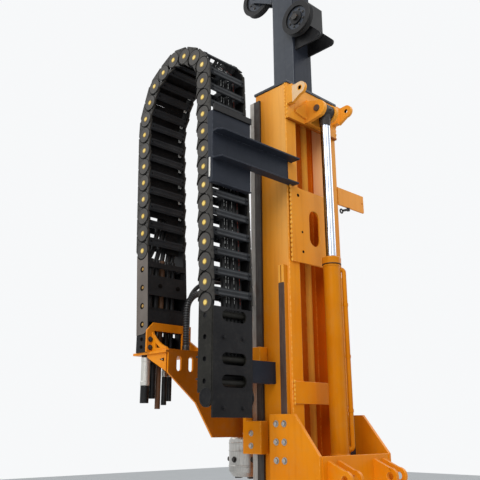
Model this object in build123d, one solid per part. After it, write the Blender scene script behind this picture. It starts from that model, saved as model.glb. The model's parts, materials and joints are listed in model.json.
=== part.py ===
from build123d import *
import math
import os

# Mast of a crawler core drilling rig, in millimetres.
# X runs across the mast, -Y points to the carrier with its tilt and slide cylinders,
# +Y points to the drilled hole, and Z is up along the mast.
# The origin is the middle of the tilt pivot's bores in the mast support.

os.makedirs("parts", exist_ok=True)

# Driving sizes of the mast beam
mast_width = 450.0
mast_depth = 240.0
mast_back = 265.0
mast_top = 2695.0
mast_foot = -700.0
beam_wall = 10.0
recess_width = 277.0
recess_depth = 127.0
recess_rib_width = 46.0
recess_rib_height = 10.0
recess_rib_place = 68.0
cap_thickness = 16.0
cap_overhang = 6.0
mast_front = mast_back + mast_depth
side = mast_width / 2

# Rails of the beam
slide_rail_width = 37.0
slide_rail_setback = 15.0
slide_rail_thickness = 28.0
slide_rail_top = 1513.0
stop_block_height = 95.0
wear_strip_thickness = 6.0
guide_rail_width = 36.0
guide_rail_overhang = 14.0
guide_rail_depth = 33.0
guide_rail_leg = 45.0
guide_rail_drop = 45.0

# Slide cylinder and its pins
cylinder_axis = 160.0
rod_radius = 28.0
bore_radius = 40.0
barrel_radius = 46.0
gland_radius = 51.0
gland_top = 1668.0
gland_height = 42.0
base_pin_height = 590.0
rod_pin_drop = 146.0
rod_pin_height = mast_top - rod_pin_drop
pin_radius = 20.0
running_gap = 0.05
eye_radius = 44.0
eye_thickness = 76.0
piston_height = 60.0
piston_top = 1520.0
ear_radius = 52.0
ear_thickness = 26.0
ear_gap = 3.0
seat = 0.4

# Mast support that the mast slides in
support_foot = -420.0
support_top = 850.0
support_side_thickness = 20.0
support_back = 58.0
support_plate_thickness = 16.0
support_front = 370.0
pivot_radius = 30.0
pivot_boss_radius = 52.0
pivot_boss_length = 70.0
pivot_span = 360.0
shoe_length = 260.0
shoe_gap = 0.4
gib_thickness = 16.0
pad_thickness = 8.0

# Hose chain: each side plate has an outer and an inner layer that overlap at the pins
pitch = 100.0
chain_width = 265.0
chain_left = -755.0
chain_right = chain_left + chain_width
chain_root_y = 330.0
chain_root_z = 1350.0
chain_lean = 2.4
fixed_links = 13
moving_links = 7
bend_angles = (43.0, 62.0, 79.0, 116.0, 124.0, 158.0, 160.0, 178.0)
layer = 9.0
disc_radius = 48.0
disc_gap = 4.0
tongue_half = 33.0
tongue_foot = -28.0
tongue_top = 52.0
link_back = 57.5
crossbar_thickness = 9.0
bar_inset = 1.5
arc_steps = 5
mouth_steps = 2
mouth_gap = 6.5
outer_bar_width = 44.0
inner_bar_width = 40.0
inner_bar_edge = 46.0

# Hoses in the chain: place across the inside as a share of its width, and radius
hose_rows = ((0.17, 17.0), (0.35, 15.0), (0.52, 15.0), (0.69, 14.0), (0.87, 14.0))

# Crown above the mast's top
crown_tube = 172.0
crown_tube_wall = 8.0
crown_tube_corner = 10.0
crown_height = 980.0
crown_centre_y = 397.0
sheave_radius = 128.0
sheave_width = 44.0
sheave_groove = 12.0
sheave_gap = 6.0
sheave_pin_radius = 20.0

# Rotation head and its carriage
head_axis_y = 815.0
head_bottom = 700.0
head_top = 1150.0
head_width = 420.0
spindle_radius = 62.0
spindle_bore = 38.0


def box(x0, x1, y0, y1, z0, z1):
    """A block between two corners."""
    return Pos((x0 + x1) / 2, (y0 + y1) / 2, (z0 + z1) / 2) * Box(abs(x1 - x0), abs(y1 - y0), abs(z1 - z0))


def rod_x(x0, x1, y, z, radius):
    """A cylinder along X."""
    return Pos((x0 + x1) / 2, y, z) * Rot(0, 90, 0) * Cylinder(radius, abs(x1 - x0))


def rod_y(y0, y1, x, z, radius):
    """A cylinder along Y."""
    return Pos(x, (y0 + y1) / 2, z) * Rot(90, 0, 0) * Cylinder(radius, abs(y1 - y0))


def rod_z(z0, z1, x, y, radius):
    """A cylinder along Z."""
    return Pos(x, y, (z0 + z1) / 2) * Cylinder(radius, abs(z1 - z0))


def outline(points):
    """A closed flat face through the points."""
    return make_face(Polyline(*points, close=True))


def plate_x(points, x0, x1):
    """A plate across X from (y, z) points."""
    return extrude(Plane.YZ.offset(x0) * outline(points), x1 - x0)


def plate_y(points, y0, y1):
    """A plate across Y from (x, z) points."""
    return extrude(Plane.XZ.offset(-y0) * outline(points), -(y1 - y0))


def plate_z(points, z0, z1):
    """A plate across Z from (x, y) points."""
    return extrude(Plane.XY.offset(z0) * outline(points), z1 - z0)


def slot_y(x, z, length, width, y0, y1, turned=False):
    """An oblong cutter through Y, upright unless turned."""
    sketch = SlotOverall(length, width, rotation=0 if turned else 90)
    return extrude(Plane.XZ.offset(-y0) * Pos(x, z) * sketch, -(y1 - y0))


def lug_x(x0, x1, root_y, hole_y, z, root_low, root_high, radius, hole):
    """A tapered lug across X with a round nose and a bore."""
    nose = rod_x(x0, x1, hole_y, z, radius)
    body = plate_x([(root_y, root_low), (root_y, root_high), (hole_y, z + radius), (hole_y, z - radius)],
                   x0, x1)
    return nose + body - rod_x(x0 - 1, x1 + 1, hole_y, z, hole)


def arc(centre, radius, start, stop, steps):
    """Points on an arc round a centre, from one angle to another in degrees."""
    angles = [math.radians(start + (stop - start) * step / steps) for step in range(steps + 1)]
    return [(centre[0] + radius * math.cos(turn), centre[1] + radius * math.sin(turn)) for turn in angles]


def turned(points, place):
    """A solid of revolution from (radius, height) points, standing at a place."""
    return place * revolve(Plane.XZ * outline(points), Axis.Z)


def several(shapes):
    """One node from solids that don't touch."""
    return Compound(children=[solid for shape in shapes for solid in shape.solids()])


def save(name, shape):
    """Writes one piece to its own file."""
    export_step(shape, "parts/" + name + ".step")


# The mast beam: a front box with two side boxes behind, round an open recess
def make_beam():
    """The folded and welded beam with its through cavities and the ribs in its recess."""
    half = recess_width / 2
    web = mast_back + recess_depth
    near, far = recess_rib_place - recess_rib_width / 2, recess_rib_place + recess_rib_width / 2
    rib = web - recess_rib_height
    section = outline([
        (-side, mast_back), (-half, mast_back), (-half, web), (-far, web), (-far, rib), (-near, rib),
        (-near, web), (near, web), (near, rib), (far, rib), (far, web), (half, web), (half, mast_back),
        (side, mast_back),
        (side, mast_front), (-side, mast_front)])
    solid = extrude(Plane.XY.offset(mast_foot) * section, mast_top - mast_foot)
    w = beam_wall
    solid -= box(-side + w, side - w, web + w, mast_front - w, mast_foot - 1, mast_top + 1)
    for sign in (-1, 1):
        inner, outer = sign * (half + w), sign * (side - w)
        solid -= box(inner, outer, mast_back + w, web, mast_foot - 1, mast_top + 1)
    return solid


save("mast_beam", make_beam())

# Plates on the beam's back face, across the recess
plate_thickness = 12.0
head_plate_height = 224.0
plate_face = mast_back - plate_thickness
save("mast_head_plate", box(-side, side, plate_face, mast_back, mast_top - head_plate_height, mast_top))

cap = box(-side - cap_overhang, side + cap_overhang, plate_face - cap_overhang, mast_front + cap_overhang,
          mast_top, mast_top + cap_thickness)
save("mast_cap_plate", cap)

slot_plate_left = -214.0
slot_plate_right = 100.0
slot_plate_top = mast_top - 636
slot_plate_height = 425.0
slot_length = 206.0
slot_width = 88.0
slot_plate = box(slot_plate_left, slot_plate_right, plate_face, mast_back,
                 slot_plate_top - slot_plate_height, slot_plate_top)
slot_middle = -18.0
slot_plate -= slot_y(slot_middle, slot_plate_top - slot_plate_height / 2, slot_length, slot_width,
                     plate_face - 1, mast_back + 1)
save("mast_slot_plate", slot_plate)

cross_plate_drop = 1685.0
cross_plate_step = 448.0
cross_plate_height = 110.0
cross_plate_inset = 5.0
cross_plates = []
for index in range(4):
    top = mast_top - cross_plate_drop - index * cross_plate_step
    cross_plates.append(box(-side + cross_plate_inset, side - cross_plate_inset, mast_back - 10, mast_back,
                            top - cross_plate_height, top))
save("mast_cross_plates", several(cross_plates))

# Lugs on their pads at the mast's head, and the rod's clevis with its gussets
lug_thickness = 20.0
lug_hole_y = 155.0
lug_hole_drop = 73.0
lug_radius = 38.0
lug_hole = 12.0
lug_root_low = 72.0
lug_root_high = 33.0
pad_depth = 40.0
pad_width = 35.0
pad_height = 139.0
lug_edge = side - 2
lug_z = mast_top - lug_hole_drop
lugs = []
for sign in (-1, 1):
    low, high = sorted((sign * lug_edge, sign * (lug_edge - lug_thickness)))
    pad_low, pad_high = sorted((sign * side, sign * (side - pad_width)))
    lug = lug_x(low, high, plate_face - pad_depth, lug_hole_y, lug_z, lug_z - lug_root_low,
                lug_z + lug_root_high, lug_radius, lug_hole)
    lug += box(pad_low, pad_high, plate_face - pad_depth, plate_face, mast_top - pad_height, mast_top)
    lugs.append(lug)
save("mast_lugs", several(lugs))

clevis_half = eye_thickness / 2 + ear_gap
clevis_outer = clevis_half + ear_thickness
clevis_low = rod_pin_height - 42
clevis_high = rod_pin_height + 62
clevis_gusset = 92.0
clevis = box(-clevis_outer, clevis_outer, plate_face - 22, plate_face, clevis_low - 24, clevis_high + 18)
for sign in (-1, 1):
    low, high = sorted((sign * clevis_half, sign * clevis_outer))
    clevis += lug_x(low, high, plate_face, cylinder_axis, rod_pin_height, clevis_low - 24, clevis_high + 18,
                    ear_radius, pin_radius + running_gap)
    reach = sign * (clevis_outer + clevis_gusset)
    clevis += plate_y([(sign * clevis_outer, clevis_low), (sign * clevis_outer, clevis_high),
                       (reach, clevis_low + 34), (reach, clevis_low + 17)], plate_face - 12, plate_face)
save("rod_clevis", clevis)
save("clevis_pin", rod_x(-clevis_outer - 8, clevis_outer + 8, cylinder_axis, rod_pin_height, pin_radius))

# Rails on the beam's sides and round its front corners
rail_near = mast_back + slide_rail_setback
rail_far = rail_near + slide_rail_width
rail_out = side + slide_rail_thickness
strip_out = rail_out + wear_strip_thickness
guide_in = side + guide_rail_overhang - guide_rail_width
guide_out = side + guide_rail_overhang
guide_near = mast_front - guide_rail_leg
guide_front = mast_front + guide_rail_depth
for name, sign in (("left", -1), ("right", 1)):
    face = sign * side
    rail = box(face, sign * rail_out, rail_near, rail_far, mast_foot, slide_rail_top)
    rail += box(face, sign * strip_out, rail_near, rail_far, slide_rail_top,
                slide_rail_top + stop_block_height)
    save("slide_rail_" + name, rail)
    strip = box(sign * rail_out, sign * strip_out, rail_near, rail_far, mast_foot, slide_rail_top)
    save("wear_strip_" + name, strip)
    section = outline([(face, guide_near), (sign * guide_out, guide_near), (sign * guide_out, guide_front),
                       (sign * guide_in, guide_front), (sign * guide_in, mast_front), (face, mast_front)])
    guide = extrude(Plane.XY.offset(mast_foot) * section, mast_top - guide_rail_drop - mast_foot)
    save("guide_rail_" + name, guide)

# Flat bar with its gusset on the mast's right side, and the eye bolt under it
bar_right = 484.0
bar_top = mast_top - 531
bar_height = 109.0
bar_thickness = 12.0
bar_low = bar_top - bar_height
bar_front = mast_back + bar_thickness
bar_hole = 7.0
bar_hole_x = bar_right - 14
bar_hole_z = bar_low + 57
side_bar = box(side, bar_right, mast_back, bar_front, bar_low, bar_top)
side_bar -= rod_y(mast_back - 1, bar_front + 1, bar_hole_x, bar_hole_z, bar_hole)
bar_gusset = 40.0
side_bar += plate_x([(bar_front, bar_low), (bar_front, bar_top), (bar_front + bar_gusset, bar_top - 30)],
                    side, side + 10)
save("side_bar", side_bar)

eye_ring = 12.0
eye_wire = 4.5
shank_radius = 7.0
eye_y = mast_back + bar_thickness / 2
eye_x = side + 37
eye_z = bar_low - 34
shank_end = Vector(eye_x + 69, eye_y, bar_low - 8)
shank_start = Vector(eye_x + eye_ring, eye_y, eye_z + 5)
shank = Plane(origin=shank_start, z_dir=shank_end - shank_start)
eye_bolt = Pos(eye_x, eye_y, eye_z) * Rot(90, 0, 0) * Torus(eye_ring, eye_wire)
eye_bolt += extrude(shank * Circle(shank_radius), (shank_end - shank_start).length)
eye_bolt += rod_z(bar_low - 18, bar_low, shank_end.X, eye_y, shank_radius + 3)
save("eye_bolt", eye_bolt)

# Slide cylinder: barrel in the support, rod under the mast's clevis
barrel_foot = base_pin_height + 62
barrel = rod_z(barrel_foot, gland_top - gland_height, 0, cylinder_axis, barrel_radius)
barrel += rod_x(-eye_thickness / 2, eye_thickness / 2, cylinder_axis, base_pin_height, eye_radius)
barrel += box(-eye_thickness / 2, eye_thickness / 2, cylinder_axis - 34, cylinder_axis + 34,
              base_pin_height, barrel_foot + 8)
barrel -= rod_z(barrel_foot + 10, gland_top, 0, cylinder_axis, bore_radius)
barrel -= rod_x(-eye_thickness, eye_thickness, cylinder_axis, base_pin_height, pin_radius + running_gap)
save("cylinder_barrel", barrel)

gland_low = gland_top - gland_height
gland_bore = rod_radius + running_gap
gland = turned([(gland_bore, gland_low), (gland_radius, gland_low), (gland_radius, gland_top - 5),
                (gland_radius - 5, gland_top), (gland_bore, gland_top)], Pos(0, cylinder_axis, 0))
save("cylinder_gland", gland)

rod = rod_z(piston_top, rod_pin_height - 30, 0, cylinder_axis, rod_radius)
rod += rod_z(piston_top - piston_height, piston_top, 0, cylinder_axis, bore_radius - 0.5)
save("cylinder_rod", rod)

rod_eye = rod_x(-eye_thickness / 2, eye_thickness / 2, cylinder_axis, rod_pin_height, eye_radius)
rod_eye += rod_z(rod_pin_height - 96, rod_pin_height, 0, cylinder_axis, rod_radius + 7)
rod_eye -= rod_x(-eye_thickness, eye_thickness, cylinder_axis, rod_pin_height, pin_radius + running_gap)
rod_eye -= rod_z(rod_pin_height - 100, rod_pin_height - 30, 0, cylinder_axis, rod_radius)
save("rod_eye", rod_eye)

pipe_radius = 12.0
pipe_bend = 16.0
pipe_reach = 64.0
pipe_turn = -44.0
pipe_top = 1600.0
pipe_low = base_pin_height + 92
pipe_path = FilletPolyline(
    (barrel_radius + 0.3, 0, pipe_top), (pipe_reach, 0, pipe_top),
    (pipe_reach, 0, pipe_low), (barrel_radius + 0.3, 0, pipe_low), radius=pipe_bend)
pipe = sweep(Plane(origin=pipe_path @ 0, z_dir=pipe_path % 0) * Circle(pipe_radius), path=pipe_path)
save("cylinder_pipe", Pos(0, cylinder_axis, 0) * Rot(0, 0, pipe_turn) * pipe)

# Mast support
side_in = strip_out + shoe_gap + pad_thickness
side_out = side_in + support_side_thickness
window_length = 230.0
window_width = 110.0
plate_inner = support_back + support_plate_thickness
plate_low = support_foot + 120
plate_high = support_top - 190
for name, sign in (("left", -1), ("right", 1)):
    low, high = sorted((sign * side_in, sign * side_out))
    cheek = plate_x([(support_back, plate_low), (support_back + 120, support_foot),
                     (support_front, support_foot), (support_front, support_top),
                     (support_back + 150, support_top), (support_back, plate_high)],
                    low, high)
    for z in (-160.0, 430.0):
        window = Pos(support_back + 132, z) * SlotOverall(window_length, window_width, rotation=90)
        cheek -= extrude(Plane.YZ.offset(low - 1) * window, high - low + 2)
    save("support_side_" + name, cheek)

back_plate = box(-side_in, side_in, support_back, plate_inner, plate_low, plate_high)
for z in (-130.0, 130.0, 390.0):
    back_plate -= slot_y(0, z, 170, 110, support_back - 2, plate_inner + 2, turned=True)
save("support_back_plate", back_plate)

beam_far = mast_back - 40
base_beam = box(-side_in, side_in, plate_inner, beam_far, plate_low - 10, plate_low + 30)
base_beam += box(-side_in, side_in, beam_far - support_plate_thickness, beam_far,
                 support_foot + 40, plate_low - 10)
save("support_cross_beam", base_beam)

base_low = base_pin_height - 90
base_high = base_pin_height + 60
cylinder_base = box(-clevis_outer, clevis_outer, plate_inner, plate_inner + 14, base_low, base_high)
for sign in (-1, 1):
    low, high = sorted((sign * clevis_half, sign * clevis_outer))
    cylinder_base += lug_x(low, high, plate_inner, cylinder_axis, base_pin_height, base_low, base_high,
                           ear_radius, pin_radius + running_gap)
save("cylinder_base_lugs", cylinder_base)
base_pin = rod_x(-clevis_outer - 8, clevis_outer + 8, cylinder_axis, base_pin_height, pin_radius)
save("cylinder_base_pin", base_pin)

# Tilt pivot bosses and the tilt cylinder's lugs behind the back plate
pivot_half = pivot_span / 2
pivot_root = 150.0
bosses = []
for sign in (-1, 1):
    low, high = sorted((sign * (pivot_half - pivot_boss_length), sign * pivot_half))
    bosses.append(lug_x(low, high, support_back, 0, 0, -pivot_root, pivot_root,
                        pivot_boss_radius, pivot_radius))
save("tilt_pivot_lugs", several(bosses))

tilt_lug_z = 560.0
tilt_lug_half = 10.0
tilt_lug_root = 80.0
tilt_lug_reach = 90.0
tilt_lug_radius = 40.0
tilt_pin_radius = 18.0
tilt_lugs = []
for centre in (-218.0, -142.0, 142.0, 218.0):
    tilt_lugs.append(lug_x(centre - tilt_lug_half, centre + tilt_lug_half,
                           support_back, support_back - tilt_lug_reach,
                           tilt_lug_z, tilt_lug_z - tilt_lug_root, tilt_lug_z + tilt_lug_root,
                           tilt_lug_radius, tilt_pin_radius))
save("tilt_cylinder_lugs", several(tilt_lugs))

# Gibs and pads that grip the slide rails
gib_in = side + 5
gib_near = rail_near - shoe_gap
gib_far = rail_far + shoe_gap
for name, sign in (("left", -1), ("right", 1)):
    shoes = []
    inner, outer = sorted((sign * gib_in, sign * side_in))
    pad_low, pad_high = sorted((sign * (strip_out + shoe_gap), sign * side_in))
    for z0 in (support_foot, support_top - shoe_length):
        shoe = box(inner, outer, gib_near - gib_thickness, gib_near, z0, z0 + shoe_length)
        shoe += box(inner, outer, gib_far, gib_far + gib_thickness, z0, z0 + shoe_length)
        shoe += box(pad_low, pad_high, gib_near - gib_thickness, gib_far + gib_thickness,
                    z0, z0 + shoe_length)
        shoes.append(shoe)
    save("slide_shoes_" + name, several(shoes))


# Hose chain
def pin_places():
    """The (y, z) places of the chain's pins and each link's turn."""
    turns = [chain_lean] * fixed_links + list(bend_angles) + [180 + chain_lean] * moving_links
    places = [(chain_root_y, chain_root_z)]
    for turn in turns:
        y, z = places[-1]
        angle = math.radians(turn)
        places.append((y + pitch * math.sin(angle), z + pitch * math.cos(angle)))
    return places, turns


def make_link():
    """One link at the origin, its length along Z and the loop's inside towards +Y."""
    hollow = disc_radius + mouth_gap
    shoulder = pitch - 4
    strip_end = 4.0
    disc = arc((0, pitch), disc_radius, 184.8, -28, arc_steps)
    mouth = arc((0, 0), hollow, 15.9, 124, mouth_steps)
    plate = [(-link_back, strip_end), (-link_back, shoulder)] + disc + mouth
    inner = [(-tongue_half, tongue_top), (tongue_half, tongue_top),
             (tongue_half, tongue_foot), (-tongue_half, tongue_foot)]
    link = None
    for outer_face, sign in ((chain_left, 1), (chain_right, -1)):
        middle = outer_face + sign * layer
        low, high = sorted((outer_face, middle))
        wall = plate_x(plate, low, high)
        low, high = sorted((middle, middle + sign * layer))
        wall += plate_x(inner, low, high)
        link = wall if link is None else link + wall
    # near edge, far edge and height of each crossbar
    for b0, b1, height in ((-link_back + bar_inset, -link_back + crossbar_thickness, outer_bar_width),
                           (inner_bar_edge - crossbar_thickness, inner_bar_edge, inner_bar_width)):
        link += box(chain_left + layer - 1, chain_right - layer + 1, b0, b1,
                    pitch / 2 - height / 2, pitch / 2 + height / 2)
    return link


places, turns = pin_places()
master_link = make_link()
groups = (("chain_fixed_run", 0, fixed_links), ("chain_bend", fixed_links, fixed_links + len(bend_angles)),
          ("chain_moving_run", fixed_links + len(bend_angles), len(turns)))
for name, first, last in groups:
    run = None
    for index in range(first, last):
        link = Pos(0, *places[index]) * Rot(-turns[index], 0, 0) * master_link
        run = link if run is None else run + link
    save(name, run)

# Hoses held in the chain
hose_start = 250.0
hose_sides = 8
inner_left = chain_left + 2 * layer
inner_width = chain_width - 4 * layer
held = [0] + list(range(fixed_links, fixed_links + len(bend_angles) + 1)) + [len(places) - 1]
hoses = []
for share, radius in hose_rows:
    x = inner_left + share * inner_width
    route = [(x, places[0][0], places[0][1] - hose_start)] + [(x, *places[index]) for index in held]
    path = Polyline(*route)
    start = Plane(origin=path @ 0, z_dir=path % 0)
    hoses.append(sweep(start * RegularPolygon(radius, hose_sides), path=path, transition=Transition.RIGHT))
save("chain_hoses", several(hoses))

# Bracket at the chain's fixed end
fixed_half = 48.0
fixed_foot = 940.0
fixed_nose = 46.0
hole_radius = 12.0
front_y = chain_root_y - fixed_half
front_thickness = 8.0
front_foot = 830.0
front_top = 1330.0
front_middle = -618.0
fixed = None
for low in (chain_left, chain_right - layer):
    wall = plate_x([(front_y, fixed_foot), (front_y, chain_root_z), (front_y + 2 * fixed_half, chain_root_z),
                    (front_y + 2 * fixed_half, fixed_foot)], low, low + layer)
    wall += rod_x(low, low + layer, chain_root_y, chain_root_z, disc_radius)
    wall += rod_x(low, low + layer, chain_root_y - 11, fixed_foot - 20, fixed_nose)
    for z in (1289.0, 1189.0, 1088.0, 989.0):
        wall -= rod_x(low - 1, low + layer + 1, chain_root_y + 1, z, hole_radius)
    fixed = wall if fixed is None else fixed + wall
front = box(chain_left + 2, chain_right - layer + 1, front_y - front_thickness, front_y + 1,
            front_foot, front_top)
front = fillet(front.edges().filter_by(Axis.Z).sort_by(Axis.X)[-2:].sort_by(Axis.Y)[0], front_thickness * 0.8)
for z in (1291.0, 1091.0, 991.0):
    front -= slot_y(front_middle, z, 158, 57, front_y - 20, front_y + 5, turned=True)
fixed += front
fixed += box(chain_left + 1, chain_right - 1, chain_root_y + fixed_half - front_thickness,
             chain_root_y + fixed_half, fixed_foot, 1290)
comb = box(chain_left + 1, chain_right - 1, front_y + 0.5, chain_root_y + fixed_half - 1, 1130, 1150)
for hose in hoses:
    comb -= hose
fixed += comb
save("fixed_end_bracket", fixed)

# Bracket at the chain's moving end, its feet and the hoses below it
moving_y, moving_z = places[-1]
moving_lean = 183.6
moving_half = 49.0
moving_length = 454.0
moving_corner = 40.0
tongue_gap = 0.5
tongue_radius = 46.0
shelf_z = 1157.0
mouth = arc((0, 0), disc_radius + disc_gap, 160, 20, arc_steps)
wall_points = (mouth + [(moving_half, moving_length - moving_corner)]
               + arc((moving_half - moving_corner, moving_length - moving_corner), moving_corner, 20, 70, 2)
               + [(moving_half - moving_corner, moving_length), (-moving_half, moving_length)])
tongue_points = arc((0, 0), tongue_radius, 180, 360, 8) + [(tongue_radius, 90), (-tongue_radius, 90)]
moving = None
for outer_face, sign in ((chain_left, 1), (chain_right, -1)):
    low, high = sorted((outer_face, outer_face + sign * layer))
    wall = plate_x(wall_points, low, high)
    low, high = sorted((outer_face + sign * (layer + tongue_gap), outer_face + sign * 2 * layer))
    wall += plate_x(tongue_points, low, high)
    low, high = sorted((outer_face + sign * (layer - 1), outer_face + sign * 2 * layer))
    wall += box(low, high, -tongue_radius, tongue_radius, disc_radius + disc_gap + 2, 90)
    for a in (104.0, 206.0, 305.0, 403.0):
        wall -= rod_x(outer_face - 20, outer_face + 20, 0, a, hole_radius)
    moving = wall if moving is None else moving + wall
# first and last height of each plate on the inside of the loop
for a0, a1 in ((66.0, 97.0), (141.0, 250.0), (330.0, 394.0)):
    moving += box(chain_left + 1, chain_right - 1, moving_half - 8, moving_half, a0, a1)
moving += box(chain_left + 1, chain_right - 1, -moving_half, -moving_half + 8, 60, moving_length - 30)
moving = Pos(0, moving_y, moving_z) * Rot(-moving_lean, 0, 0) * moving
foot_top = 1256.0
foot_near = 786.0
foot_far = 880.0
foot_wall = 9.0
# outer edge of each foot and the way its flanges point
for edge, sign in ((chain_left + 3, 1), (chain_right - 8, -1)):
    low, high = sorted((edge, edge + sign * 36))
    wall_low, wall_high = sorted((edge, edge + sign * foot_wall))
    moving += box(wall_low, wall_high, foot_near, foot_far, shelf_z, foot_top)
    moving += box(low, high, foot_near, foot_near + foot_wall, shelf_z, foot_top)
moving += box(chain_left + 3, chain_right - 8, foot_far - foot_wall, foot_far, shelf_z, foot_top)

# x, radius and lower end of each hose below the chain's moving end
head_hose_rows = ((-717.0, 20.0, 907.0), (-668.0, 17.0, 930.0), (-630.0, 15.0, 880.0), (-590.0, 15.0, 900.0),
                  (-557.0, 14.0, 920.0))
head_hose_y = 842.0
moving_hoses = []
head_hose_top = moving_z - 40
for x, radius, low in head_hose_rows:
    hose = extrude(RegularPolygon(radius, hose_sides), head_hose_top - low)
    moving_hoses.append(Pos(x, head_hose_y, low) * hose)
moving_comb = box(chain_left + 1, chain_right - 1, moving_y - 50, moving_y + 16, 1374, 1394)
for hose in moving_hoses:
    moving_comb -= hose
moving += moving_comb
save("moving_end_bracket", moving)
save("head_hoses", several(moving_hoses))

# Arm that holds the fixed run, with its plates, and the lower holder behind the bracket
arm_left = chain_left - 28
arm_top = mast_top - 483
arm_height = 146.0
arm_low = arm_top - arm_height
arm_web = 268.0
arm_wall = 9.0
arm_lap = 40.0
flange_chamfer = 22.0
arm = box(arm_left, -side, arm_web - arm_wall, arm_web, arm_low, arm_top)
# foot and depth of each flange
for low, depth in ((arm_low, 25.0), (arm_top - arm_wall, 67.0)):
    arm += plate_z([(arm_left, arm_web), (arm_left, arm_web - depth + flange_chamfer),
                    (arm_left + flange_chamfer, arm_web - depth), (-side, arm_web - depth), (-side, arm_web)],
                   low, low + arm_wall)
    arm += box(-side, -side + arm_lap, arm_web - depth, mast_back, low, low + arm_wall)
save("chain_arm", arm)

lean = math.tan(math.radians(chain_lean))
plates_low = chain_root_z + 530
plates_high = chain_root_z + 965


def run_face(z):
    """The fixed run's outer face at a height."""
    return chain_root_y - link_back / math.cos(math.radians(chain_lean)) + (z - chain_root_z) * lean


plates = plate_x([(arm_web, plates_low), (run_face(plates_low) - seat, plates_low),
                  (run_face(plates_high) - seat, plates_high), (arm_web, plates_high)],
                 chain_left + 4, chain_right - 4)
save("chain_arm_plates", plates)

holder_low = 1000.0
holder_high = 1110.0
holder_wall = 8.0
holder_near = chain_root_y + fixed_half
holder_far = 428.0
holder = box(chain_left + 30, -side, holder_near, holder_far, holder_low, holder_high)
holder -= box(chain_left + 29, -side - holder_wall - 4, holder_near + holder_wall, holder_far + 1,
              holder_low + holder_wall, holder_high - holder_wall)
save("chain_holder", holder)

# Orange bracket from the rotation head to the chain's moving end
head_half = head_width / 2
shelf_thickness = 12.0
shelf_left = -745.0
shelf_right = -450.0
shelf_near = 634.0
shelf_far = 914.0
big_plate_far = shelf_near + shelf_thickness
frame_near = 769.0
frame_left = -765.0
frame_right = -476.0
frame_top = 1307.0
shelf_low = shelf_z - shelf_thickness
bracket = box(shelf_left, shelf_right, shelf_near, shelf_far, shelf_low, shelf_z)
frame_far = frame_near + shelf_thickness
frame_plate = plate_y([(frame_left, shelf_z - 1), (frame_left, frame_top - 40), (frame_left + 40, frame_top),
                       (frame_right, frame_top), (frame_right, shelf_z - 1)], frame_near, frame_far)
frame_plate -= box(frame_left + 45, frame_right - 58, frame_near - 1, frame_far + 1,
                   shelf_z + 24, frame_top - 42)
bracket += frame_plate
big_plate = plate_y([(-728, shelf_z + 6), (-head_half, shelf_z + 6), (-head_half, 740), (-430, 740),
                     (-544, 906), (-728, 1048)], shelf_near, big_plate_far)
for x in (-660.0, -583.0):
    big_plate -= slot_y(x, 1094, 76, 30, shelf_near - 1, big_plate_far + 1)
bracket += big_plate
upper = plate_x([(big_plate_far - 1, shelf_z - 1), (frame_near + 1, shelf_z - 1), (frame_near + 1, 1263)]
                + arc((590, 1380), 216, -33, -74.5, 6), -734, -722)
upper -= plate_x([(741, 1203), (700, 1171), (739, 1174)], -735, -721)
lower = plate_x([(big_plate_far - 1, shelf_low + 1), (805, shelf_low + 1), (805, 1132), (760, 1108),
                 (715, 1087), (big_plate_far - 1, 1052)], -734, -722)
lower -= plate_x([(700, 1115), (662, 1121), (661, 1100)], -735, -721)
right = plate_x([(big_plate_far - 1, shelf_z - 1), (frame_near + 1, shelf_z - 1), (frame_near + 1, 1230),
                 (705, 1190), (big_plate_far - 1, 1165)], -488, -476)
bracket += upper + lower + right
for hose in moving_hoses:
    bracket -= hose
save("chain_bracket", bracket)

# Crown: tube on the cap plate, rear lugs with their sheave, front fork with its sheave
crown_low = mast_top + cap_thickness
half_tube = crown_tube / 2
tube_back = crown_centre_y - half_tube
tube_front = crown_centre_y + half_tube
tube_top = crown_low + crown_height
tube = box(-half_tube, half_tube, tube_back, tube_front, crown_low, tube_top)
tube = fillet(tube.edges().filter_by(Axis.Z), crown_tube_corner)
inner_half = half_tube - crown_tube_wall
tube -= box(-inner_half, inner_half, crown_centre_y - inner_half, crown_centre_y + inner_half,
            crown_low - 1, tube_top - crown_tube_wall)
save("crown_tube", tube)

rear_low = crown_low + 296
rear_high = crown_low + 579
rear_box_low = crown_low + 417
rear_axle_y = 243.0
rear_axle_z = crown_low + 461
rear_nose_y = 134.0
rear_nose = 22.0
rear_lug = 12.0
rear_reach = 66.0
box_back = 195.0
rear = box(-rear_reach, rear_reach, box_back, tube_back, rear_box_low, rear_high)
for low in (-rear_reach, rear_reach - rear_lug):
    rear += plate_x([(tube_back, rear_low), (rear_nose_y, rear_low), (rear_nose_y - 18, rear_low + 36),
                     (box_back, rear_box_low), (box_back, rear_high), (tube_back, rear_high)],
                    low, low + rear_lug)
    rear += rod_x(low, low + rear_lug, rear_nose_y, rear_low + rear_nose, rear_nose)
rear -= rod_x(-half_tube, half_tube, rear_axle_y, rear_axle_z, sheave_pin_radius)
save("crown_rear_bracket", rear)

rear_sheave_radius = 110.0
sheave_out = -half_tube - sheave_gap - sheave_width
save("rear_sheave_pin", rod_x(sheave_out - 14, rear_reach + 10, rear_axle_y, rear_axle_z, sheave_pin_radius))


def sheave(x0, y, z, radius):
    """A grooved rope wheel across X."""
    bore = sheave_pin_radius + running_gap
    half = sheave_width / 2
    web = 8.0
    rim = radius - sheave_groove
    profile = [(bore, -half), (bore + 22, -half), (bore + 22, -web), (rim - 20, -web), (rim - 20, -half),
               (radius, -half), (radius, -half + 5), (rim, -4), (rim, 4), (radius, half - 5), (radius, half),
               (rim - 20, half), (rim - 20, web), (bore + 22, web), (bore + 22, half), (bore, half)]
    return turned(profile, Pos(x0 + half, y, z) * Rot(0, 90, 0))


save("rear_sheave", sheave(sheave_out, rear_axle_y, rear_axle_z, rear_sheave_radius))

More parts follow.
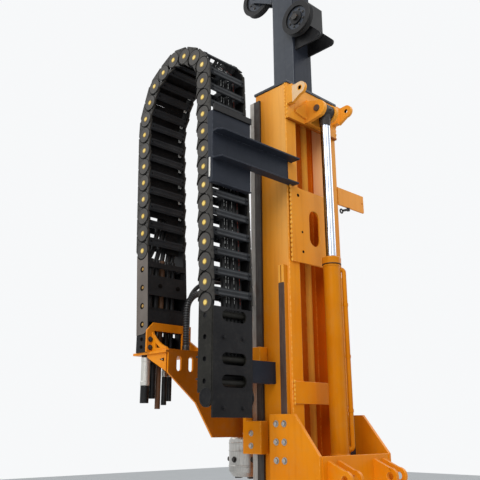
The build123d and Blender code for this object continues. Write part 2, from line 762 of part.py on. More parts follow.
front_axle_y = head_axis_y - sheave_radius
front_axle_z = crown_low + 889
fork_low = crown_low + 729
fork_high = tube_top - 10
fork_gap = sheave_width / 2 + sheave_gap
fork_plate = 12.0
fork_nose = 46.0
fork = box(-half_tube, half_tube, tube_front, tube_front + fork_plate, fork_low - 10, fork_high)
for sign in (-1, 1):
    low, high = sorted((sign * fork_gap, sign * (fork_gap + fork_plate)))
    cheek = plate_x([(tube_front, fork_low), (front_axle_y, front_axle_z - fork_nose),
                     (front_axle_y, front_axle_z + fork_nose), (tube_front, fork_high)], low, high)
    cheek += rod_x(low, high, front_axle_y, front_axle_z, fork_nose)
    fork += cheek - rod_x(low - 1, high + 1, front_axle_y, front_axle_z, sheave_pin_radius)
save("crown_front_fork", fork)
pin_reach = fork_gap + fork_plate + 6
save("front_sheave_pin", rod_x(-pin_reach, pin_reach, front_axle_y, front_axle_z, sheave_pin_radius))
save("front_sheave", sheave(-sheave_width / 2, front_axle_y, front_axle_z, sheave_radius))

# Rotation head on its carriage
carriage_half = 285.0
carriage_gap = 6.0
carriage_plate = 20.0
carriage_low = head_bottom - 40
carriage_high = head_top + 40
hook_height = 160.0
head_back = guide_front + carriage_gap + carriage_plate
carriage = box(-carriage_half, carriage_half, head_back - carriage_plate, head_back,
               carriage_low, carriage_high)
for sign in (-1, 1):
    for z0 in (carriage_low, carriage_high - hook_height):
        low, high = sorted((sign * (guide_out + shoe_gap), sign * carriage_half))
        carriage += box(low, high, guide_near - 26, head_back - carriage_plate, z0, z0 + hook_height)
        low, high = sorted((sign * (side + 4), sign * carriage_half))
        carriage += box(low, high, guide_near - 26, guide_near - shoe_gap, z0, z0 + hook_height)
save("head_carriage", carriage)

gear_low = 780.0
gear_high = 1130.0
spindle_hole = spindle_radius + running_gap
housing = box(-head_half + 20, head_half - 20, head_back, head_axis_y, gear_low + 20, gear_high)
housing += turned([(0, gear_low), (120, gear_low), (150, gear_low + 40), (head_half - 12, gear_low + 40),
                   (head_half - 12, gear_high - 60), (head_half, gear_high - 60), (head_half, gear_high - 24),
                   (head_half - 16, gear_high), (90, gear_high), (78, gear_high + 26), (0, gear_high + 26)],
                  Pos(0, head_axis_y, 0))
housing += box(-head_half, -head_half + 40, head_back, head_back + 120, gear_low + 40, gear_high - 60)
housing -= rod_z(gear_low - 1, gear_high + 30, 0, head_axis_y, spindle_hole)
save("head_gearbox", housing)

chuck_radius = 108.0
chuck_foot = head_bottom - 170
collar_radius = spindle_radius + 14
collar_low = gear_high + 66
collar_high = gear_high + 90
chuck_top = gear_low - 60
neck = gear_low - 20
spindle = turned([(spindle_bore, chuck_foot), (chuck_radius - 22, chuck_foot),
                  (chuck_radius, chuck_foot + 30), (chuck_radius, chuck_top),
                  (chuck_radius - 26, neck), (spindle_radius, neck),
                  (spindle_radius, collar_low), (collar_radius, collar_low), (collar_radius, collar_high),
                  (spindle_bore, collar_high)], Pos(0, head_axis_y, 0))
save("spindle_and_chuck", spindle)

motor_y = 690.0
motor_x = 118.0
motor_top = gear_high + 210
motors = []
for x in (-motor_x, motor_x):
    motors.append(turned([(0, gear_high), (80, gear_high), (80, gear_high + 24), (64, gear_high + 40),
                          (64, gear_high + 150), (56, gear_high + 160), (56, motor_top - 10), (46, motor_top),
                          (0, motor_top)], Pos(x, motor_y, 0)))
port_x = -213.0
port_y = 706.0
port_half = 25.0
port_top = 1275.0
motors[0] += box(port_x - port_half, -motor_x - 40, port_y - port_half, port_y + port_half,
                 port_top - 60, port_top)
save("head_motors", several(motors))

# Foot of the mast with the rod clamp
foot_thickness = 20.0
foot = box(-side - 20, side + 20, mast_back - 14, guide_front + 10, mast_foot - foot_thickness, mast_foot)
save("mast_foot_plate", foot)
clamp_low = mast_foot + 30
clamp_high = mast_foot + 190
clamp_half = 190.0
clamp_bore = 62.0
clamp_far = head_axis_y + 130
clamp = box(-clamp_half, clamp_half, mast_front, clamp_far, clamp_low, clamp_high)
clamp = chamfer(clamp.edges().filter_by(Axis.Z).sort_by(Axis.Y)[-2:], 50)
clamp -= rod_z(clamp_low - 1, clamp_high + 1, 0, head_axis_y, clamp_bore)
save("rod_clamp", clamp)
clamp_cylinders = []
clamp_z = (clamp_low + clamp_high) / 2
for turn in (0, 180):
    clamp_cylinders.append(turned([(0, 0), (70, 0), (70, 20), (56, 24), (56, 120), (44, 132), (0, 132)],
                                  Pos(0, head_axis_y - 20, clamp_z) * Rot(0, 0, turn) * Pos(clamp_half, 0, 0)
                                  * Rot(0, 90, 0)))
save("clamp_cylinders", several(clamp_cylinders))


# Free conduit and hose from the bracket's shelf to the head's motors
def free_hose(name, route, radius, least):
    """A tube along straight runs joined by tangent arcs."""
    radii = []
    for before, here, after in zip(route[:-2], route[1:-1], route[2:]):
        a, b = Vector(*here) - Vector(*before), Vector(*after) - Vector(*here)
        turn = math.radians(a.get_angle(b))
        radii.append(0.45 * min(a.length, b.length) / math.tan(turn / 2))
    print(name, "arc radii", [round(value) for value in radii], "least wanted", least)
    path = FilletPolyline(*route, radius=radii)
    tube = sweep(Plane(origin=path @ 0, z_dir=path % 0) * Circle(radius), path=path)
    print(name, "length", round(path.length, 1), "volume over section times length",
          round(tube.volume / (math.pi * radius ** 2 * path.length), 4))
    save(name, tube)


conduit_radius = 17.0
conduit_route = [
    (-560, port_y, shelf_z + seat), (-560, port_y, 1285), (-561, port_y, 1400), (-533.8, port_y, 1451.2),
    (-485.7, port_y, 1483.6), (-370.3, port_y, 1495.7), (-262.7, port_y, 1452.2), (-225.4, port_y, 1407.8),
    (port_x, port_y, 1351), (port_x, port_y, port_top + seat)]
free_hose("corrugated_conduit", conduit_route, conduit_radius, 102)

second_radius = 12.0
second_route = [
    (-468, 808, shelf_z + seat), (-468, 808, 1310), (-471, 800, 1462), (-435.3, 790, 1529.1),
    (-372.3, 772, 1571.6), (-267.6, 745, 1582.6), (-170, 722, 1543.2), (-125, 710, 1489.6),
    (-motor_x, 704, 1392),
    (-motor_x, 704, motor_top + seat)]
free_hose("motor_hose", second_route, second_radius, 72)
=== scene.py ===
import json
import logging
import math
from dataclasses import dataclass
from enum import Enum
from functools import partial
from typing import Callable, Optional, Sequence

import bmesh
import bpy
from mathutils import Matrix, Vector, noise


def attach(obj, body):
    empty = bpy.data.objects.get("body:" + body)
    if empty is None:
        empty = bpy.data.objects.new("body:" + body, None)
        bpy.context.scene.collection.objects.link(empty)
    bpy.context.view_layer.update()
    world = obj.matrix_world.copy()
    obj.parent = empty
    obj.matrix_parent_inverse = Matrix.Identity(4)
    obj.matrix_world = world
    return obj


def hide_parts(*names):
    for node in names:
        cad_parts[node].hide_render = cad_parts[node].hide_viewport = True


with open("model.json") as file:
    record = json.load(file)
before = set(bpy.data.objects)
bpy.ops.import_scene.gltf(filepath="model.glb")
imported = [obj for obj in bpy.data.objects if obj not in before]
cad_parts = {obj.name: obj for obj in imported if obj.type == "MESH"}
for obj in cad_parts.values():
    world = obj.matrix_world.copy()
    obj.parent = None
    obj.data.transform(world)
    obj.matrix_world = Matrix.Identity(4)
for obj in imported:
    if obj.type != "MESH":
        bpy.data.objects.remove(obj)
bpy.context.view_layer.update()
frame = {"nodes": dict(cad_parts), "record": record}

LOG = logging.getLogger("mast")
Colour = tuple[float, float, float]
Point = tuple[float, float, float]
TUBE_STEPS = 5
LENGTH_STEPS = 60
SHARP_OVER = 38.0
SMOOTH_UNDER = 35.0


class Side(Enum):
    """A side of the mast, seen from the carrier."""

    LEFT = -1
    RIGHT = 1

    def at(self, point: Point) -> Point:
        """A point or a direction given on the right, moved to this side."""
        return self.value * point[0], point[1], point[2]


class Pattern(Enum):
    """How the marks of a finish run over its surface."""

    EVEN = (1.0, 1.0, 1.0)
    UPRIGHT = (1.0, 1.0, 0.06)


class Value:
    """One output in a shader graph, with arithmetic that adds Math nodes."""

    def __init__(self, graph: "Graph", socket: bpy.types.NodeSocket) -> None:
        """Keeps the graph and the output to read."""
        self.graph = graph
        self.socket = socket

    def math(self, operation: str, *others: "Value | float", clamp: bool = False) -> "Value":
        """Adds one Math node with the further inputs; its result may be clamped to 0 to 1."""
        settings = {"operation": operation, "use_clamp": clamp}
        return self.graph.node("ShaderNodeMath", settings, {i: v for i, v in enumerate((self, *others))})

    def __add__(self, other: "Value | float") -> "Value":
        """Adds."""
        return self.math("ADD", other)

    __radd__ = __add__

    def __sub__(self, other: "Value | float") -> "Value":
        """Subtracts."""
        return self.math("SUBTRACT", other)

    def __rsub__(self, other: float) -> "Value":
        """Subtracts from a number."""
        return (self * -1.0) + other

    def __mul__(self, other: "Value | float") -> "Value":
        """Multiplies."""
        return self.math("MULTIPLY", other)

    __rmul__ = __mul__

    def spread(self, low: float, high: float) -> "Value":
        """Maps low to 0 and high to 1, and clamps."""
        return (self - low).math("DIVIDE", high - low, clamp=True)


class Graph:
    """The node tree of a material or of the world."""

    def __init__(self, owner: bpy.types.Material | bpy.types.World) -> None:
        """Empties the owner's tree.

        Args:
            owner: the new material or world.
        """
        self.owner = owner
        owner.use_nodes = True
        self.tree = owner.node_tree
        self.tree.nodes.clear()

    def node(self, kind: str, settings: dict, inputs: dict, output: int | str = 0) -> Value:
        """Adds a node, sets it and fills its sockets.

        Args:
            kind: the node's type.
            settings: the node's own properties, set before its sockets.
            inputs: what goes into each socket, by name or place.
            output: the output to return, by name or place.

        Returns:
            The chosen output.
        """
        made = self.tree.nodes.new(kind)
        for key, value in settings.items():
            setattr(made, key, value)
        for key, value in inputs.items():
            if isinstance(value, Value):
                self.tree.links.new(value.socket, made.inputs[key])
            else:
                made.inputs[key].default_value = value
        return Value(self, made.outputs[output])

    def end(self, kind: str, last: Value) -> None:
        """Sends the last value to an output node of this type."""
        self.tree.links.new(last.socket, self.tree.nodes.new(kind).inputs[0])

    def place(self, pattern: Pattern = Pattern.EVEN) -> Value:
        """The object's own coordinates, stretched the way a pattern runs."""
        source = self.node("ShaderNodeTexCoord", {}, {}, "Object")
        return self.node("ShaderNodeMapping", {}, {"Vector": source, "Scale": pattern.value})

    def part_of_place(self, axis: int) -> Value:
        """One of the object's own coordinates, in metres."""
        return self.node("ShaderNodeSeparateXYZ", {}, {0: self.place()}, axis)

    def noise(self, scale: float, detail: float = 3.0, pattern: Pattern = Pattern.EVEN,
              roughness: float = 0.5) -> Value:
        """Soft noise, about 0 to 1, with scale waves per metre and finer layers on them."""
        return self.node("ShaderNodeTexNoise", {}, {
            "Vector": self.place(pattern), "Scale": scale, "Detail": detail, "Roughness": roughness}, "Fac")

    def mix(self, factor: Value, first: Value | Colour, second: Value | Colour) -> Value:
        """Mixes two colours; the factor is how much of the second."""
        fill = [c if isinstance(c, Value) else (*c, 1.0) for c in (first, second)]
        return self.node("ShaderNodeMix", {"data_type": "RGBA"}, {0: factor, 6: fill[0], 7: fill[1]}, 2)

    def bump(self, height: Value, distance: float, strength: float = 1.0,
             normal: Optional[Value] = None) -> Value:
        """Turns a height into a normal.

        Args:
            height: the height, 0 to 1.
            distance: the height of 1, in metres.
            strength: how strong the bump is.
            normal: a normal to add to.

        Returns:
            The normal.
        """
        inputs = {"Height": height, "Distance": distance, "Strength": strength}
        if normal is not None:
            inputs["Normal"] = normal
        return self.node("ShaderNodeBump", {}, inputs)

    def dress(self, constants: dict[str, float | tuple], **sockets: Value) -> bpy.types.Material:
        """Fills a principled shader and ends the tree with it.

        Args:
            constants: numbers for the shader's own sockets, by name.
            sockets: values by socket name, with underscores for spaces.

        Returns:
            The finished material.
        """
        inputs = {**constants, **{key.replace("_", " "): value for key, value in sockets.items()}}
        self.end("ShaderNodeOutputMaterial", self.node("ShaderNodeBsdfPrincipled", {}, inputs))
        return self.owner


@dataclass(frozen=True)
class Enamel:
    """Sprayed machine paint, a little uneven, dusty and rubbed at its edges."""

    name: str
    slot: str
    body: Colour
    pale: Colour
    deep: Colour
    # the colour of rubbed edges, also the colour of the painted corner highlight
    rub_and_sheen: Colour
    gloss: float = 0.36
    dust: Colour = (0.42, 0.36, 0.28)
    dust_share: float = 0.25
    shine: float = 0.22
    tint: Colour = (1.0, 1.0, 1.0)
    # the colour that the paint turns towards the top, as painted light
    painted_top_light: Optional[Colour] = None
    # when set, a painted highlight near the beam's front corner and painted shade towards the back of its
    # side
    corner_sheen: bool = False

    def make(self) -> bpy.types.Material:
        """Builds the paint's material."""
        g = Graph(bpy.data.materials.new(self.name))
        clouds = g.noise(2.2, 4.0)
        streaks = g.noise(46.0, 4.0, Pattern.UPRIGHT)
        colour = g.mix(clouds.spread(0.38, 0.66), self.body, self.pale)
        # painted light: the paint turns paler with height, from 1.3 m up to 2.8 m
        if self.painted_top_light is not None:
            height = g.part_of_place(2)
            colour = g.mix(height.spread(1.3, 2.8) * 0.65, colour, self.painted_top_light)
            # painted highlight in a band near the front corner, stronger higher up, in the rubbed colour;
            # then painted shade towards the back
            if self.corner_sheen:
                depth = g.part_of_place(1)
                band = depth.spread(0.2655, 0.275) * (1.0 - depth.spread(0.285, 0.4))
                wave = g.noise(1.4, 3.0, Pattern.UPRIGHT).spread(0.25, 0.75)
                sky = height.spread(0.9, 2.1)
                colour = g.mix(band * (wave * 0.5 + 0.5) * (sky * 0.75 + 0.15), colour, self.rub_and_sheen)
                colour = g.mix(depth.spread(0.36, 0.5) * 0.45, colour, self.deep)
        colour = g.mix(streaks.spread(0.52, 0.78) * 0.3, colour, self.deep)
        specks = g.noise(160.0, 5.0, roughness=0.7)
        colour = g.mix(specks.spread(0.66, 0.8) * 0.35, colour, self.deep)
        film = (g.noise(7.0, 6.0, roughness=0.65) * g.noise(31.0, 4.0)).spread(0.22, 0.42) * self.dust_share
        colour = g.mix(film, colour, self.dust)
        edge = g.node("ShaderNodeAttribute", {"attribute_name": "edge"}, {}, "Fac")
        worn = edge * g.noise(60.0, 5.0, roughness=0.7).spread(0.44, 0.62)
        colour = g.mix(worn * 0.55, colour, self.rub_and_sheen)
        rough = streaks * 0.12 + film * 0.35 + (self.gloss - 0.06) + worn * 0.12
        peel = g.bump(g.noise(420.0, 2.0), 0.00025, 0.35)
        normal = g.bump(g.noise(11.0, 2.0), 0.0025, 0.3, peel)
        normal = g.bump(g.noise(900.0, 2.0), 0.00008, 0.25, normal)
        return g.dress({"Specular IOR Level": self.shine, "Specular Tint": (*self.tint, 1.0)},
                       Base_Color=colour, Roughness=rough, Normal=normal)


@dataclass(frozen=True)
class Moulding:
    """Moulded plastic or rubber with a fine grain and a film of dust."""

    name: str
    slot: str
    body: Colour
    pale: Colour
    gloss: float = 0.5
    dust: Colour = (0.16, 0.145, 0.125)
    dust_share: float = 0.12
    shine: float = 0.2
    grain: float = 520.0
    grain_height: float = 0.00012

    def make(self) -> bpy.types.Material:
        """Builds the plastic's material."""
        g = Graph(bpy.data.materials.new(self.name))
        clouds = g.noise(9.0, 5.0)
        colour = g.mix(clouds.spread(0.35, 0.7), self.body, self.pale)
        film = (g.noise(16.0, 6.0, roughness=0.7) * g.noise(70.0, 4.0)).spread(0.22, 0.45) * self.dust_share
        colour = g.mix(film, colour, self.dust)
        scuffs = g.noise(120.0, 6.0, Pattern.UPRIGHT, 0.7).spread(0.6, 0.72)
        colour = g.mix(scuffs * 0.18, colour, self.pale)
        rough = film * 0.3 + clouds * 0.14 + (self.gloss - 0.07)
        normal = g.bump(g.noise(self.grain, 3.0), self.grain_height, 0.5)
        normal = g.bump(g.noise(26.0, 3.0), 0.0009, 0.25, normal)
        return g.dress({"Specular IOR Level": self.shine}, Base_Color=colour, Roughness=rough,
                       Normal=normal)


@dataclass(frozen=True)
class BareMetal:
    """Bare or plated metal with drawn marks, and rust where it is kept wet; on the rod's chrome the marks
    are painted reflections.
    """

    name: str
    slot: str
    body: Colour
    pale: Colour
    rust: Colour = (0.16, 0.075, 0.035)
    rust_share: float = 0.0
    gloss: float = 0.3
    metal: float = 1.0
    marks: Pattern = Pattern.UPRIGHT
    mark_scale: float = 260.0

    def make(self) -> bpy.types.Material:
        """Builds the metal's material."""
        g = Graph(bpy.data.materials.new(self.name))
        # drawn marks; on the chrome they are painted reflections
        marks_and_reflections = g.noise(self.mark_scale, 4.0, self.marks, 0.65)
        clouds = g.noise(13.0, 5.0, roughness=0.6)
        colour = g.mix(marks_and_reflections.spread(0.35, 0.7), self.body, self.pale)
        stain = g.noise(24.0, 7.0, self.marks, 0.72)
        low = 0.7 - 0.45 * self.rust_share
        rust = (stain * 0.6 + clouds * 0.4).spread(low, low + 0.14) * min(1.0, self.rust_share * 2.0)
        colour = g.mix(rust, colour, self.rust)
        rough = marks_and_reflections * 0.1 + clouds * 0.06 + rust * 0.45 + (self.gloss - 0.08)
        metal = (1.0 - rust * 0.9) * self.metal
        normal = g.bump(marks_and_reflections, 0.00006, 0.35)
        normal = g.bump(stain * rust, 0.0004, 0.6, normal)
        return g.dress({}, Base_Color=colour, Roughness=rough, Metallic=metal, Normal=normal)


class Finishes:
    """Every finish of the mast, made once."""

    def __init__(self) -> None:
        """Makes the materials and keeps each finish's slot."""
        kinds = (
            # orange_enamel and beam_enamel end with the colour of their painted light towards the top
            Enamel("orange_enamel", "orange_paint", (0.7, 0.205, 0.003), (0.76, 0.255, 0.007),
                   (0.5, 0.12, 0.002), (0.86, 0.42, 0.1), 0.36, (0.5, 0.27, 0.08), 0.14, 0.3,
                   (1.0, 0.52, 0.12), (0.8, 0.37, 0.05)),
            Enamel("beam_enamel", "orange_paint", (0.7, 0.205, 0.003), (0.76, 0.255, 0.007),
                   (0.5, 0.12, 0.002), (0.88, 0.46, 0.13), 0.36, (0.5, 0.27, 0.08), 0.14, 0.3,
                   (1.0, 0.52, 0.12), (0.8, 0.37, 0.05), True),
            # the recess, painted darker as painted shade
            Enamel("recess_enamel", "orange_paint", (0.52, 0.09, 0.002), (0.6, 0.12, 0.003),
                   (0.3, 0.045, 0.001), (0.7, 0.22, 0.03), 0.42, (0.3, 0.12, 0.03), 0.16, 0.12,
                   (1.0, 0.45, 0.1)),
            # the recess's lit wall, painted paler as painted light
            Enamel("recess_wall_enamel", "orange_paint", (0.9, 0.5, 0.21), (0.94, 0.56, 0.27),
                   (0.66, 0.32, 0.11), (0.94, 0.62, 0.34), 0.42, (0.8, 0.5, 0.26), 0.16, 0.2),
            Enamel("shaded_enamel", "orange_paint", (0.27, 0.07, 0.003), (0.33, 0.09, 0.004),
                   (0.16, 0.04, 0.002), (0.5, 0.18, 0.03), 0.46, (0.2, 0.11, 0.05), 0.2, 0.1,
                   (1.0, 0.52, 0.12)),
            # a darker copy of the orange paint for the chain bracket's frame, as painted shade
            Enamel("bracket_enamel", "orange_paint", (0.5, 0.145, 0.003), (0.56, 0.175, 0.005),
                   (0.34, 0.085, 0.002), (0.7, 0.3, 0.06), 0.42, (0.34, 0.18, 0.06), 0.16, 0.16,
                   (1.0, 0.52, 0.12)),
            # a darker copy of the orange paint, as painted shade, for the cylinder, its gland and pipe, and
            # the slide rails
            Enamel("barrel_enamel", "orange_paint", (0.52, 0.155, 0.002), (0.58, 0.19, 0.004),
                   (0.4, 0.105, 0.002), (0.8, 0.42, 0.12), 0.34, (0.4, 0.22, 0.07), 0.14, 0.3,
                   (1.0, 0.55, 0.16)),
            # a paler paint for the ribs and the stop blocks, as painted light
            Enamel("rib_enamel", "orange_paint", (0.8, 0.33, 0.035), (0.84, 0.39, 0.06), (0.6, 0.19, 0.012),
                   (0.86, 0.46, 0.14), 0.4, (0.44, 0.24, 0.08), 0.16, 0.2, (1.0, 0.52, 0.12)),
            Enamel("seam_enamel", "orange_paint", (0.74, 0.3, 0.02), (0.84, 0.42, 0.06), (0.36, 0.1, 0.003),
                   (0.92, 0.58, 0.18), 0.3, (0.5, 0.27, 0.08), 0.1, 0.45, (1.0, 0.7, 0.3)),
            # a paler peach copy of the orange paint, as painted light
            Enamel("peach_enamel", "orange_paint", (0.66, 0.4, 0.19), (0.74, 0.5, 0.28), (0.52, 0.25, 0.06),
                   (0.8, 0.6, 0.38), 0.42, (0.6, 0.46, 0.28), 0.2, 0.25),
            Enamel("slate_enamel", "dark_paint", (0.022, 0.027, 0.037), (0.036, 0.043, 0.056),
                   (0.012, 0.015, 0.02), (0.12, 0.13, 0.14), 0.42, (0.1, 0.1, 0.1), 0.16, 0.34),
            Enamel("navy_enamel", "dark_paint", (0.016, 0.019, 0.027), (0.025, 0.029, 0.04),
                   (0.009, 0.011, 0.016), (0.09, 0.1, 0.12), 0.44, (0.05, 0.055, 0.065), 0.12, 0.12),
            Enamel("black_enamel", "dark_paint", (0.008, 0.008, 0.009), (0.015, 0.015, 0.016),
                   (0.004, 0.004, 0.004), (0.08, 0.07, 0.06), 0.46, (0.05, 0.045, 0.04), 0.16, 0.2),
            Moulding("chain_plastic", "black_plastic", (0.022, 0.02, 0.0175), (0.036, 0.033, 0.029), 0.52),
            # near-black plastic for the links' inner layer and shelf, as painted shade
            Moulding("chain_inner_plastic", "black_plastic", (0.003, 0.003, 0.0035), (0.007, 0.007, 0.0075),
                     0.6, dust_share=0.04, shine=0.05),
            Moulding("link_disc_plastic", "black_plastic", (0.043, 0.039, 0.035), (0.062, 0.057, 0.051),
                     0.5),
            Moulding("bracket_plastic", "black_plastic", (0.006, 0.006, 0.007), (0.012, 0.012, 0.013), 0.5,
                     dust_share=0.05, shine=0.12),
            Moulding("warm_grey_plastic", "black_plastic", (0.01, 0.0095, 0.008), (0.017, 0.016, 0.013),
                     0.55, dust_share=0.08, shine=0.12),
            Moulding("moving_bracket_plastic", "black_plastic", (0.104, 0.087, 0.075),
                     (0.152, 0.128, 0.111), 0.55),
            Moulding("crossbar_plastic", "black_plastic", (0.009, 0.01, 0.012), (0.017, 0.019, 0.022), 0.48,
                     dust_share=0.05, shine=0.14),
            Moulding("crossbar_rib_plastic", "black_plastic", (0.022, 0.024, 0.027), (0.038, 0.041, 0.045),
                     0.45),
            # paler than the conduit, as painted highlight on its ribs
            Moulding("conduit_rib_plastic", "hose_rubber", (0.02, 0.02, 0.021), (0.042, 0.042, 0.043), 0.4,
                     shine=0.4),
            Moulding("bush_bronze", "black_plastic", (0.3, 0.165, 0.035), (0.42, 0.25, 0.065), 0.5),
            # pale print marks, and the pale painted glints in the shut links
            Moulding("hose_mark", "hose_rubber", (0.42, 0.42, 0.41), (0.62, 0.62, 0.6), 0.5),
            Moulding("red_mark", "hose_rubber", (0.2, 0.02, 0.012), (0.28, 0.04, 0.022), 0.5),
            Moulding("pin_cap_plastic", "black_plastic", (0.22, 0.14, 0.035), (0.34, 0.22, 0.06), 0.42,
                     (0.2, 0.13, 0.05), 0.15),
            Moulding("pin_centre_plastic", "black_plastic", (0.74, 0.5, 0.085), (0.84, 0.64, 0.2), 0.44,
                     (0.5, 0.34, 0.12), 0.15),
            Moulding("hose_cover", "hose_rubber", (0.004, 0.004, 0.0045), (0.01, 0.01, 0.011), 0.42,
                     dust_share=0.05, shine=0.22),
            Moulding("brown_hose_cover", "hose_rubber", (0.075, 0.032, 0.014), (0.12, 0.058, 0.028), 0.45),
            Moulding("conduit_plastic", "hose_rubber", (0.008, 0.008, 0.0085), (0.018, 0.018, 0.019), 0.42),
            # near-black for the inside of holes, as painted shade
            Moulding("hole_dark", "dark_paint", (0.003, 0.002, 0.0015), (0.006, 0.004, 0.003), 0.8,
                     dust_share=0.0, shine=0.05),
            # the rod's chrome: bluish and white streaks stand for painted reflections
            BareMetal("hard_chrome", "chrome", (0.36, 0.41, 0.5), (0.6, 0.63, 0.68), gloss=0.18,
                      mark_scale=46.0),
            # a dark strip of painted reflection along the rod
            BareMetal("chrome_shade", "chrome", (0.1, 0.105, 0.12), (0.22, 0.23, 0.25), gloss=0.2,
                      mark_scale=120.0),
            # rusty steel painted near-black, partly as painted shade, for the guide rail's strip
            BareMetal("greased_steel", "worn_steel", (0.012, 0.008, 0.006), (0.06, 0.046, 0.036),
                      (0.03, 0.016, 0.01), rust_share=0.5, gloss=0.5, metal=0.3, mark_scale=120.0),
            BareMetal("eye_steel", "worn_steel", (0.01, 0.007, 0.005), (0.022, 0.016, 0.012),
                      (0.02, 0.012, 0.008), rust_share=0.4, gloss=0.5, metal=0.2, marks=Pattern.EVEN),
            BareMetal("pin_face_steel", "worn_steel", (0.075, 0.045, 0.032), (0.12, 0.075, 0.055),
                      (0.06, 0.03, 0.018), rust_share=0.5, gloss=0.5, metal=0.2, marks=Pattern.EVEN),
            BareMetal("worn_rail_steel", "worn_steel", (0.3, 0.275, 0.25), (0.5, 0.47, 0.43),
                      rust_share=0.45, gloss=0.34, metal=0.85),
            BareMetal("spindle_steel", "worn_steel", (0.34, 0.33, 0.31), (0.52, 0.5, 0.47), rust_share=0.3,
                      gloss=0.3),
            BareMetal("ferrule_steel", "worn_steel", (0.46, 0.45, 0.42), (0.62, 0.6, 0.56), rust_share=0.15,
                      gloss=0.38, metal=0.6),
            BareMetal("zinc_steel", "worn_steel", (0.34, 0.33, 0.31), (0.52, 0.51, 0.48), rust_share=0.25,
                      gloss=0.34, marks=Pattern.EVEN, mark_scale=140.0),
            BareMetal("brown_strip", "worn_steel", (0.06, 0.032, 0.022), (0.105, 0.062, 0.045),
                      (0.03, 0.016, 0.01), rust_share=0.45, gloss=0.52, metal=0.25, mark_scale=180.0),
            BareMetal("black_steel", "worn_steel", (0.03, 0.028, 0.027), (0.075, 0.07, 0.064),
                      rust_share=0.3, gloss=0.42, metal=0.7, marks=Pattern.EVEN, mark_scale=120.0),
        )
        self.made = {kind.name: kind.make() for kind in kinds}
        self.slots = {kind.name: kind.slot for kind in kinds}

    def __getitem__(self, name: str) -> bpy.types.Material:
        """A material by its finish's name."""
        return self.made[name]


FINISH = Finishes()


